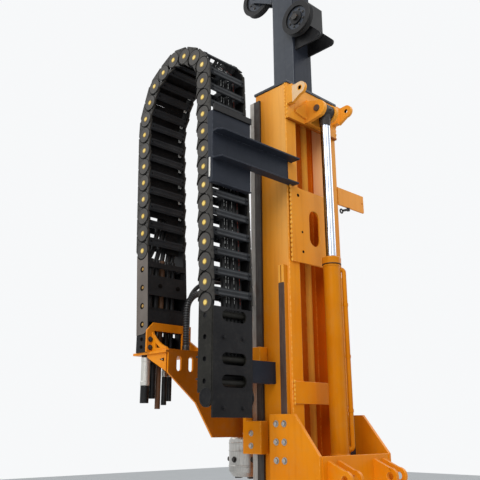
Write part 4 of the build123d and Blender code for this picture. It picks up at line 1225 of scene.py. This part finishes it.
@dataclass
class FreeCords:
    """The corrugated conduit and the smooth hose between the bracket's shelf and the head's motors."""

    conduit: tuple[Point, ...] = (
        (-0.56, 0.706, 1.1574), (-0.56, 0.706, 1.285), (-0.561, 0.706, 1.4), (-0.5338, 0.706, 1.4512),
        (-0.4857, 0.706, 1.4836), (-0.3703, 0.706, 1.4957), (-0.2627, 0.706, 1.4522),
        (-0.2254, 0.706, 1.4078),
        (-0.213, 0.706, 1.351), (-0.213, 0.706, 1.2754))
    hose: tuple[Point, ...] = (
        (-0.468, 0.808, 1.1574), (-0.468, 0.808, 1.31), (-0.471, 0.8, 1.462), (-0.4353, 0.79, 1.5291),
        (-0.3723, 0.772, 1.5716), (-0.2676, 0.745, 1.5826), (-0.17, 0.722, 1.5432), (-0.125, 0.71, 1.4896),
        (-0.118, 0.704, 1.392), (-0.118, 0.704, 1.3404))
    conduit_radius: float = 0.017
    hose_radius: float = 0.012
    rib_start: float = 0.012
    rib_pitch: float = 0.013
    rib_width: float = 0.0094
    body: str = "head"

    def build(self) -> None:
        """Makes both cords, the conduit's ribs and the ends' fittings."""
        ribs = Shape()
        line = spline_points(self.conduit, LENGTH_STEPS)
        done, walked = self.rib_start, 0.0
        r = self.conduit_radius
        for before, after in zip(line[:-1], line[1:]):
            step = (after - before).length
            while walked + step > done:
                spot = before.lerp(after, (done - walked) / step)
                ribs.ring(spot, after - before, r * 0.84, r * 1.05, self.rib_width)
                done += self.rib_pitch
            walked += step
        # painted highlight: the ribs are paler than the conduit's core
        pieces = {"conduit": [place("conduit_ribs", ribs, self.body, ["conduit_rib_plastic"])], "hose": []}
        for name, route, radius in (("conduit", self.conduit, r), ("hose", self.hose, self.hose_radius)):
            for end, tip, behind in (("low", route[0], route[1]), ("far", route[-1], route[-2])):
                ends = Shape()
                self.fitting(ends, tip, Vector(behind) - Vector(tip), radius)
                pieces[name].append(place(f"{name}_{end}_fitting", ends, self.body,
                                          ["zinc_steel", "black_steel"]))
        self.cord("corrugated_conduit", self.conduit, r * 0.86, "conduit_plastic")
        self.cord("motor_hose", self.hose, self.hose_radius, "hose_cover")

    @staticmethod
    def fitting(shape: Shape, tip: Point, away: Vector, r: float) -> None:
        """Adds the nut and the collar at a cord's end, of radius r."""
        shape.turned([(0, 0.0002), (r * 1.35, 0.0002), (r * 1.35, 0.012), (r * 1.22, 0.014), (0, 0.014)],
                     tip, away, 6)
        shape.turned([(0, 0.014), (r * 1.16, 0.014), (r * 1.16, 0.034), (r * 1.04, 0.04), (0, 0.04)], tip,
                     away, 28, 1)

    def cord(self, node: str, route: Sequence[Point], radius: float, finish: str) -> None:
        """Args:
            node: the frame's node that it stands for.
            route: its control points.
            radius: its radius.
            finish: its finish.
        """
        data = bpy.data.curves.new(node + "_line", "CURVE")
        data.dimensions = "3D"
        data.resolution_u = 12
        data.bevel_depth = radius
        data.bevel_resolution = 5
        data.use_fill_caps = True
        spline = data.splines.new("NURBS")
        spline.points.add(len(route) - 1)
        for point, spot in zip(spline.points, route):
            point.co = (*spot, 1.0)
        spline.order_u = 3
        spline.use_endpoint_u = True
        piece = riding(node + "_cord", data, self.body, [finish])
        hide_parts(node)
        line = spline_points(route, LENGTH_STEPS)
        length = sum((b - a).length for a, b in zip(line[:-1], line[1:]))
        LOG.info("%s: %.3f m long", node, length)


@dataclass
class HeadBracket:
    """The orange bracket that carries the chain's moving end."""

    shelf: float = 1.1575
    web_top: float = 1.144

    def build(self) -> None:
        """Dresses the bracket, with its bolts and seams, and paints shade on its frame and its lower plate.
        """
        seams = [((x, *start), (x, *end), 0.006) for x in (-0.734, -0.722) for start, end in (
            ((0.648, 1.158), (0.768, 1.158)), ((0.768, 1.16), (0.768, 1.255)),
            ((0.648, 1.144), (0.802, 1.144)))]
        seams += [((-0.72, 0.648, self.shelf), (-0.45, 0.648, self.shelf), 0.007),
                  ((-0.72, 0.782, self.shelf), (-0.48, 0.782, self.shelf), 0.007),
                  ((-0.212, 0.634, 0.76), (-0.212, 0.634, 1.15), 0.008)]
        dressed("chain_bracket", ("orange_enamel", "black_steel", "shaded_enamel", "bracket_enamel"),
                0.0016,
                # painted shade: the frame's faces that face -Y get the darker paint
                painted(3, lambda spot, way: spot.x < -0.43 and spot.y > 0.755 and way.y < -0.5),
                # painted shade: the lower plate below the web's top gets the shaded paint
                painted(2, lambda spot, way: spot.z < self.web_top and way.x > -0.5),
                *(once(Shape.bolt, (x, 0.769, z), (0, -1, 0), 0.021, 1) for x in (-0.744, -0.499)
                  for z in (1.219, 1.178)),
                *(once(Shape.bead, *seam) for seam in seams))


@dataclass
class MastBeam:
    """The beam with its plates, weld seams, side bar and guide rails."""

    side: float = 0.225
    back: float = 0.265
    top: float = 2.695
    plate_face: float = 0.253
    slot_plate: tuple[float, float] = (1.634, 2.059)
    cross_plates: tuple[float, ...] = (1.01, 0.562, 0.114, -0.334)
    lug_eye: Point = (0.223, 0.155, 2.622)
    pad_drop: float = 0.024
    wall_edge: float = 0.377
    wall_foot: float = 2.055
    dark_strip_edge: float = 0.5045
    stop_foot: float = 1.514

    def build(self) -> None:
        """Dresses the beam and what is welded to it."""
        side, face, foot = self.side, self.plate_face, self.top - 0.224
        block, bead, turned, right = Shape.block, Shape.bead, Shape.turned, (1, 0, 0)
        dressed("mast_beam", ("beam_enamel", "recess_enamel", "rib_enamel", "seam_enamel",
                              "recess_wall_enamel"), 0.0055,
                self.recess,
                both(bead, (side, 0.2665, 2.475), (side, 0.2665, 2.69), 0.013, 3, 1.7),
                both(bead, (side, self.back + 0.2395, -0.69), (side - 0.02, self.back + 0.2405, -0.69),
                     0.006),
                both(bead, (side, 0.2665, 1.64), (side, 0.2665, 1.72), 0.004),
                both(bead, (side + 0.001, 0.2792, 0.9), (side + 0.001, 0.2792, 1.605), 0.005))
        dressed("mast_head_plate", ("orange_enamel", "shaded_enamel", "seam_enamel"), 0.0018,
                once(block, (-0.2195, 0.2455, foot - 0.0075), (0.2195, 0.264, foot + 0.0015), 0.0015, 1, 1),
                both(bead, (0.222, face + 0.01, foot + 0.004), (0.222, 0.254, foot + 0.004), 0.006),
                both(bead, (side - 0.001, face + 0.002, foot + 0.004),
                     (side - 0.001, face + 0.002, self.top - 0.142), 0.013, 2, 1.7))
        dressed("mast_cap_plate", ("slate_enamel",), 0.0022)
        low, high = self.slot_plate
        dressed("mast_slot_plate", ("orange_enamel", "hole_dark", "seam_enamel", "shaded_enamel"), 0.002,
                once(bead, (-0.2145, 0.2545, low + 0.004), (-0.2145, 0.2545, high - 0.004), 0.016, 2, 1.6),
                once(block, (-0.2165, 0.256, low + 0.004), (-0.214, 0.264, high - 0.004), 0, 1, 3),
                *(once(bead, (-0.212, 0.255, z), (-0.142, 0.255, z), 0.006) for z in (high, low)),
                # the holes' insides are near-black, as painted shade
                *(once(turned, [(0, 0), (r * 1.25, 0), (r * 1.25, 0.0006), (r, 0.0008), (r * 0.9, 0.0002),
                                (0, 0.0002)],
                       (x, face, z), (0, -1, 0), 18, 1)
                  for x, z, r in ((-0.152, 2.015, 0.0075), (-0.125, 1.807, 0.0055),
                                  (-0.122, 1.696, 0.0065))))
        dressed("mast_cross_plates", ("orange_enamel", "seam_enamel"), 0.0022,
                *(both(bead, (0.221, 0.2555, z - 0.108), (0.221, 0.2555, z - 0.002), 0.013, 1, 1.6)
                  for z in self.cross_plates),
                *(both(bead, (0.142, 0.2635, z + 0.001), (0.218, 0.2635, z + 0.001), 0.007)
                  for z in self.cross_plates))
        dressed("mast_lugs", ("orange_enamel", "peach_enamel", "hole_dark"), 0.003,
                # painted light: the left lug's faces that face -X get the paler peach paint
                painted(1, lambda spot, way: way.x < -0.8 and spot.y < 0.213 and spot.x < 0),
                self.drop_pads,
                both(bead, (0.19, face - 0.001, 2.56), (0.19, face - 0.001, 2.66), 0.0065),
                both(turned, [(0.0122, 0), (0.0175, 0), (0.0175, 0.0006), (0.016, 0.0012), (0.0125, 0.0012),
                              (0.0122, 0)],
                     self.lug_eye, right, 24),
                # painted shade: the bore of each lug's eye, and a disc that closes it, are near-black
                both(turned, [(0.0119, -0.019), (0.0119, -0.001), (0.0121, -0.001), (0.0121, -0.019)],
                     self.lug_eye, right, 24, 2),
                once(turned, disc(0.0119, 0.001), (-0.206, *self.lug_eye[1:]), (-1, 0, 0), 20, 2))
        dressed("rod_clevis", ("orange_enamel",), 0.0032,
                both(bead, (0.068, 0.2405, 2.51), (0.068, 0.2405, 2.612), 0.007),
                both(bead, (0.069, 0.252, 2.484), (0.069, 0.234, 2.484), 0.0065),
                both(turned, boss(0.0262, 0.0012, 0.025, 0.002, 0.02), (0.067, 0.16, 2.549), right, 36))
        dressed("clevis_pin", ("black_steel", "pin_face_steel"), 0.0025,
                both(turned, [(0, 0), (0.02, 0), (0.02, 0.0015), (0.0185, 0.0025), (0.006, 0.0025),
                              (0.005, 0.001), (0, 0.001)],
                     (0.0748, 0.16, 2.549), right, 24, 1))
        dressed("side_bar", ("orange_enamel",), 0.0016,
                once(bead, (0.2262, 0.264, 2.058), (0.2262, 0.264, 2.162), 0.0065),
                once(bead, (0.236, 0.278, 2.062), (0.236, 0.314, 2.134), 0.0045))
        dressed("eye_bolt", ("black_enamel",), 0.0008)
        for way in Side:
            here, name = partial(on, (way,)), way.name.lower()
            dressed("slide_rail_" + name, ("barrel_enamel", "shaded_enamel", "rib_enamel"), 0.002,
                    # painted light: the stop block's top gets the paler paint
                    painted(2, lambda spot, _: spot.z > self.stop_foot),
                    here(block, (0.257, 0.295, 1.515), (0.2594, 0.301, 1.606), 0, 1, 1),
                    *(here(bead, (0.2275, y, 1.516), (0.2275, y, 1.604), 0.006) for y in (0.2795, 0.318)),
                    here(bead, (0.23, 0.281, 1.6085), (0.256, 0.281, 1.6085), 0.005))
            dressed("wear_strip_" + name, ("brown_strip",), 0.001, *(
                here(turned, [(0, 0.0003), (0.0062, 0.0003), (0.0058, 0.0008), (0.0025, 0.0008),
                              (0.002, -0.0004), (0, -0.0004)],
                     (0.2592, 0.2985, -0.6 + index * 0.205), right, 14) for index in range(11)))
            dressed("guide_rail_" + name, ("worn_rail_steel", "greased_steel"), 0.0018, self.cut_dark_strip,
                    # rust with painted shade: the rail's faces below the strip's edge in Y get the
                    # near-black steel
                    painted(1, lambda spot, _: spot.y < self.dark_strip_edge))

    def recess(self, shape: Shape) -> None:
        """Paints the beam's recess darker, as painted shade, and the front of its upper wall that faces -X
        paler, as painted light, and adds its two ribs in a paler paint, as painted light.

        Args:
            shape: the beam.
        """
        # painted shade: every face inside the recess gets the darker paint
        painted(1, lambda spot, way: abs(spot.x) < 0.1387 and 0.2705 < spot.y < 0.3925)(shape)
        for edge, away in (((0, self.wall_edge, 0), (0, 1, 0)), ((0, 0, self.wall_foot), (0, 0, 1))):
            wall = [face for face in shape.bm.faces if face.normal.x < -0.9 and face.material_index == 1]
            whole = {*wall, *(e for face in wall for e in face.edges),
                     *(v for face in wall for v in face.verts)}
            bmesh.ops.bisect_plane(shape.bm, geom=list(whole), dist=1e-6, plane_co=edge, plane_no=away)
        # painted light: the front of the upper wall that faces -X gets the paler paint
        painted(4, lambda spot, way: way.x < -0.9 and abs(spot.x) < 0.1387
                and 0.2705 < spot.y < self.wall_edge and spot.z > self.wall_foot)(shape)
        # the ribs are painted paler, as painted light
        for middle in (-0.068, 0.068):
            bulge = arc((middle, 0.3925), 0.024, 0, -180, 10)
            shape.slab([(x, y, -0.69) for x, y in bulge], (0, 0, 3.376), 0, 1, 2)

    def drop_pads(self, shape: Shape) -> None:
        """Lowers the tops of the lugs' pads.

        Args:
            shape: the lugs.
        """
        for vert in shape.bm.verts:
            if vert.co.z > 2.684 and vert.co.y < 0.2545:
                vert.co.z -= self.pad_drop

    def cut_dark_strip(self, shape: Shape) -> None:
        """Cuts the rail's faces where its dark strip, rust with painted shade, ends."""
        whole = [*shape.bm.verts, *shape.bm.edges, *shape.bm.faces]
        bmesh.ops.bisect_plane(shape.bm, geom=whole, dist=1e-6, plane_co=(0, self.dark_strip_edge, 0),
                               plane_no=(0, 1, 0))


@dataclass
class SlideCylinder:
    """The slide cylinder with its rod, pipe and pins."""

    axis: float = 0.16
    gland_top: float = 1.668
    collar: float = 0.0305
    collar_top: float = 2.5
    port_turn: float = -44.0

    def build(self) -> None:
        """Dresses the cylinder's pieces."""
        turned, axis, up = Shape.turned, self.axis, (0, 0, 1)
        (c, s), = spokes(1, self.port_turn)
        # the cylinder's orange is the darker copy of the paint, as painted shade
        dressed("cylinder_barrel", ("barrel_enamel",), 0.0022,
                *(once(turned, [(0.0455, 0), (0.0485, 0.002), (0.049, 0.006), (0.0475, 0.01),
                                (0.0455, 0.012)],
                       (0, axis, z), up, 48) for z in (0.652, 1.612)),
                *(once(turned, boss(0.0185, 0.006, 0.016, 0.0085),
                       (0.043 * c, axis + 0.043 * s, z), (c, s, 0), 28) for z in (1.6, 0.682)))
        dressed("cylinder_gland", ("barrel_enamel", "black_enamel"), 0.002,
                once(turned, [(0.0465, -0.0008), (0.0514, -0.0008), (0.0516, 0.0012), (0.0516, 0.0022),
                              (0.0514, 0.003), (0.0508, 0.003), (0.0508, 0)],
                     (0, axis, self.gland_top - 0.042), up, 56, 1),
                once(turned, [(0.0282, 0), (0.036, 0), (0.035, 0.003), (0.03, 0.0045), (0.0282, 0.0045)],
                     (0, axis, self.gland_top), up, 44, 1))
        dressed("cylinder_rod", ("hard_chrome", "chrome_shade"), 0.002,
                # painted reflection: a dark strip down the rod's side towards -X and +Y
                painted(1, lambda spot, way: (spot.y - axis) * 0.72 - spot.x * 0.69 > 0.0205))
        dressed("rod_eye", ("eye_steel",), 0.0022, self.narrow_collar,
                once(turned, [(0, 0), (0.005, 0), (0.005, 0.004), (0.003, 0.005), (0.003, 0.01),
                              (0.0018, 0.012), (0, 0.012)],
                     (0, axis - 0.0432, 2.545), (0, -1, 0), 14))
        dressed("cylinder_pipe", ("barrel_enamel",), 0.001,
                *(once(turned, [(0.012, 0), (0.0142, 0), (0.0142, 0.016), (0.012, 0.016)],
                       (0.064 * c, axis + 0.064 * s, z), up, 28) for z in (0.86, 1.13, 1.4)))
        dressed("cylinder_base_lugs", ("orange_enamel",), 0.0028)
        dressed("cylinder_base_pin", ("black_steel",), 0.0025)

    def narrow_collar(self, shape: Shape) -> None:
        """Narrows the neck below the rod's eye to the collar's radius.

        Args:
            shape: the rod's eye.
        """
        for vert in shape.bm.verts:
            reach = math.hypot(vert.co.x, vert.co.y - self.axis)
            if vert.co.z < self.collar_top and reach > self.collar:
                vert.co.x *= self.collar / reach
                vert.co.y = self.axis + (vert.co.y - self.axis) * self.collar / reach


@dataclass
class ChainArm:
    """The dark arm and plates that hold the fixed run, and the holder below."""

    flange_lift: float = -0.004
    flange_stretch: float = 3.0
    flange_edge: float = 0.259
    plate_foot: float = 1.94
    plate_left: float = -0.776

    def build(self) -> None:
        """Dresses the arm's pieces."""
        block, bead, left, foot = Shape.block, Shape.bead, self.plate_left, self.plate_foot
        dressed("chain_arm", ("navy_enamel",), 0.0018, self.deepen_flange,
                *(once(bead, (-0.224, 0.264, z), (-0.187, 0.264, z), 0.0055)
                  for z in (2.0615, 2.0715, 2.2025, 2.2125)),
                once(bead, (-0.2265, 0.2585, 2.077), (-0.2265, 0.2585, 2.202), 0.006))
        dressed("chain_arm_plates", ("navy_enamel", "black_enamel", "ferrule_steel"), 0.0018,
                self.shift_plates,
                once(block, (left, 0.259, 2.33), (-0.506, 0.27, 2.364), 0.0015, 1, 1),
                once(block, (left, 0.26, foot), (-0.508, 0.269, foot + 0.006), 0.0012, 1),
                once(block, (left - 0.0025, 0.282, 1.968), (-0.7755, 0.293, 2.073), 0.001, 1, 2),
                once(block, (left - 0.003, 0.2935, 1.96), (-0.7755, 0.3035, 2.08), 0.001, 1, 1))
        dressed("chain_holder", ("navy_enamel", "black_steel"), 0.0018,
                *(once(Shape.bolt, (x, 0.386, z), (0, 1, 0), 0.016, 1) for x in (-0.695, -0.52)
                  for z in (1.03, 1.08)))

    def deepen_flange(self, shape: Shape) -> None:
        """Lowers the arm's lower flange and deepens its free edge.

        Args:
            shape: the arm.
        """
        for vert in shape.bm.verts:
            if vert.co.z < 2.0805:
                vert.co.z += self.flange_lift
                if vert.co.y < self.flange_edge - 0.0005:
                    vert.co.y = self.flange_edge - (self.flange_edge - vert.co.y) * self.flange_stretch

    def shift_plates(self, shape: Shape) -> None:
        """Moves the clamp plates outwards and shortens their foot.

        Args:
            shape: the plates.
        """
        for vert in shape.bm.verts:
            vert.co.x = self.plate_left + (vert.co.x + 0.751) * 1.043
            if vert.co.z < 1.9:
                vert.co.z += self.plate_foot - 1.88
            elif vert.co.z > 2.3:
                vert.co.z += 0.016


@dataclass
class Crown:
    """The crown tube with its two sheaves."""

    low: float = 2.711
    rear: tuple[float, float] = (0.243, 3.172)
    front: tuple[float, float] = (0.687, 3.6)

    def build(self) -> None:
        """Dresses the crown's pieces."""
        bead, turned, seam = Shape.bead, Shape.turned, self.low + 0.002
        dressed("crown_tube", ("slate_enamel", "navy_enamel"), 0.002,
                # painted shade: the tube's faces that face +Y and -Y get the darker navy paint
                painted(1, lambda spot, way: abs(way.y) > 0.7),
                both(bead, (0.088, 0.318, seam), (0.088, 0.476, seam), 0.0085),
                *(once(bead, (-0.08, y, seam), (0.08, y, seam), 0.0085) for y in (0.309, 0.485)))
        dressed("crown_rear_bracket", ("black_enamel",), 0.0022,
                *(both(bead, (x, 0.3095, self.low + 0.3), (x, 0.3095, self.low + 0.575), 0.0065)
                  for x in (0.053, 0.067)),
                both(turned, boss(0.0115, 0.002, 0.01, 0.003),
                     (0.066, 0.134, self.low + 0.318), (1, 0, 0), 20))
        dressed("crown_front_fork", ("slate_enamel",), 0.0022,
                *(both(bead, (x, 0.4965, self.low + 0.735), (x, 0.4965, self.low + 0.965), 0.0065)
                  for x in (0.027, 0.041)))
        for name, (y, z), x, r in (("rear", self.rear, -0.114, 0.056), ("front", self.front, 0, 0.068)):
            cover = boss(r + 0.02, 0.002, r + 0.018, 0.003, 0.0425)
            dressed(name + "_sheave", ("black_enamel", "slate_enamel", "black_steel"), 0.0016,
                    *(once(turned, cover, (x + way * 0.008, y, z), (way, 0, 0), 48, 1) for way in (-1, 1)),
                    *(once(Shape.bolt, (x + way * 0.011, y + r * c, z + r * s), (way, 0, 0), 0.013, 2)
                      for way in (-1, 1) for c, s in spokes(8)))
            dressed(name + "_sheave_pin", ("black_steel",), 0.0022)


@dataclass
class RotationHead:
    """The rotation head on its carriage, with the spindle, chuck and motors."""

    axis: float = 0.815
    motor: Point = (0.118, 0.69, 1.154)

    def build(self) -> None:
        """Dresses the head's pieces."""
        bolt, turned, axis, up = Shape.bolt, Shape.turned, self.axis, (0, 0, 1)
        heights = (0.7, 0.76, 1.09, 1.15)
        dressed("head_carriage", ("orange_enamel", "zinc_steel"), 0.0035,
                *(both(bolt, (0.262, 0.564, z), (0, 1, 0), 0.026, 1) for z in heights),
                *(both(bolt, (0.285, 0.502, z), (1, 0, 0), 0.022, 1) for z in heights),
                both(Shape.bead, (0.192, 0.5655, 0.805), (0.192, 0.5655, 1.125), 0.008))
        dressed("head_gearbox", ("orange_enamel", "zinc_steel", "black_steel"), 0.0035,
                *(once(bolt, (0.192 * c, axis + 0.192 * s, 1.1235), (0.35 * c, 0.35 * s, 1), 0.019, 1)
                  for c, s in spokes(9, -20.0, 27.5)),
                *(once(bolt, (0.0855 * c, axis + 0.0855 * s, 1.144), (0.5 * c, 0.5 * s, 1), 0.012, 1)
                  for c, s in spokes(8)),
                *(once(turned, [(0, 0), (0.018, 0), (0.018, 0.006), (0.016, 0.008), (0.009, 0.008),
                                (0.009, 0.004), (0, 0.004)],
                       (0, axis + 0.1975, z), (0, 1, 0), 24, 2) for z in (0.87, 1.03)),
                once(turned, boss(0.022, 0.014, 0.019, 0.018), (-0.15, 0.6, 1.13), up, 6, 1))
        x, y, foot = self.motor
        dressed("head_motors", ("slate_enamel", "zinc_steel", "black_steel"), 0.0022,
                *(both(bolt, (x + 0.0715 * c, y + 0.0715 * s, foot), (0.1 * c, 0.1 * s, 1), 0.012, 1)
                  for c, s in spokes(8)),
                *(both(turned, [(0.0635, 0), (0.066, 0.001), (0.066, 0.004), (0.0635, 0.005)], (x, y, z),
                       up, 48)
                  for z in (1.185, 1.215, 1.245)),
                *(both(turned, [(0, 0), (0.014, 0), (0.014, 0.012), (0.011, 0.014), (0.011, 0.024),
                                (0.008, 0.026), (0, 0.026)],
                       (x + way * 0.02, y + 0.062, 1.27), (0, 1, 0), 6, 1) for way in (-1, 1)),
                *(once(bolt, (-0.238, y, z), (-1, 0, 0), 0.009, 1) for y in (0.689, 0.723)
                  for z in (1.227, 1.263)))
        dressed("spindle_and_chuck", ("spindle_steel", "black_steel"), 0.0022,
                *(once(turned, [(0.1075, 0), (0.11, 0.002), (0.11, 0.008), (0.1075, 0.01)], (0, axis, z),
                       up, 64)
                  for z in (0.58, 0.66, 0.7)),
                *(once(bolt, (0.1075 * c, axis + 0.1075 * s, 0.62), (c, s, 0), 0.024, 1)
                  for c, s in spokes(6, 0, 60)),
                self.add_jaws)

    def add_jaws(self, shape: Shape) -> None:
        """Adds the chuck's three jaws.

        Args:
            shape: the chuck.
        """
        for index in range(3):
            verts = shape.block((0.036, -0.016, 0.52), (0.074, 0.016, 0.534), 0.003, 2, 1)
            turn = Matrix.Rotation(math.tau * index / 3, 4, "Z")
            bmesh.ops.transform(shape.bm, matrix=Matrix.Translation((0, self.axis, 0)) @ turn, verts=verts)


@dataclass
class MastSupport:
    """The support that carries the mast, with its pivot, lugs and slide shoes."""

    shoes: tuple[float, float] = (-0.42, 0.59)

    def build(self) -> None:
        """Dresses the support's pieces."""
        bead, right = Shape.bead, (1, 0, 0)
        for way in Side:
            here, name = partial(on, (way,)), way.name.lower()
            dressed("support_side_" + name, ("orange_enamel", "zinc_steel"), 0.003,
                    *(here(Shape.bolt, (0.2874, y, foot + z), right, 0.024, 1)
                      for foot in self.shoes for z in (0.045, 0.13, 0.215) for y in (0.272, 0.325)),
                    here(bead, (0.2665, 0.057, -0.29), (0.2665, 0.057, 0.65), 0.008))
            dressed("slide_shoes_" + name, ("slate_enamel",), 0.0022)
        dressed("support_back_plate", ("orange_enamel",), 0.0026,
                both(bead, (0.266, 0.0755, -0.28), (0.266, 0.0755, 0.64), 0.007))
        dressed("support_cross_beam", ("orange_enamel",), 0.0026)
        bush = [(0.0305, 0), (0.04, 0), (0.04, 0.002), (0.038, 0.003), (0.0315, 0.003), (0.0305, 0.002)]
        dressed("tilt_pivot_lugs", ("orange_enamel", "spindle_steel"), 0.003,
                *(both(Shape.turned, bush, (x, 0, 0), (way, 0, 0), 40, 1)
                  for x, way in ((0.18, 1), (0.11, -1))),
                *(both(bead, (x, 0.057, -0.148), (x, 0.057, 0.148), 0.008) for x in (0.18, 0.11)))
        dressed("tilt_cylinder_lugs", ("orange_enamel",), 0.003,
                *(both(bead, (x, 0.057, 0.484), (x, 0.057, 0.636), 0.007)
                  for x in (0.2285, 0.2075, 0.1525, 0.1315)))


@dataclass
class MastFoot:
    """The foot plate with the rod clamp and its cylinders."""

    top: float = -0.51

    def build(self) -> None:
        """Dresses the foot's pieces."""
        bolt, turned, up = Shape.bolt, Shape.turned, (0, 0, 1)
        dressed("mast_foot_plate", ("orange_enamel",), 0.0026)
        dressed("rod_clamp", ("orange_enamel", "zinc_steel", "spindle_steel"), 0.004,
                *(both(bolt, (0.155, y, self.top), up, 0.028, 1) for y in (0.6, 0.7, 0.86)),
                once(turned, [(0.0625, 0), (0.084, 0), (0.084, 0.003), (0.081, 0.005), (0.064, 0.005),
                              (0.0625, 0.003)],
                     (0, 0.815, self.top), up, 56, 2),
                once(Shape.bead, (-0.19, 0.5395, self.top + 0.0005), (0.19, 0.5395, self.top + 0.0005),
                     0.009))
        dressed("clamp_cylinders", ("slate_enamel", "zinc_steel"), 0.0022,
                *(both(bolt, (0.2105, 0.795 + 0.0625 * c, -0.59 + 0.0625 * s), (1, 0, 0), 0.01, 1)
                  for c, s in spokes(8)),
                both(turned, boss(0.013, 0.012, 0.01, 0.014), (0.27, 0.795, -0.536), up, 6, 1))


def main() -> None:
    """Builds the scene in order and reports each piece."""
    logging.basicConfig(level=logging.INFO, format="%(name)s: %(message)s")
    Studio().build()
    for kind in (FreeCords, HoseChain, EndBrackets, HeadBracket, MastBeam, SlideCylinder, ChainArm, Crown,
                 RotationHead, MastSupport, MastFoot):
        kind().build()
        LOG.info("%s done", kind.__name__)


if __name__ == "__main__":
    main()
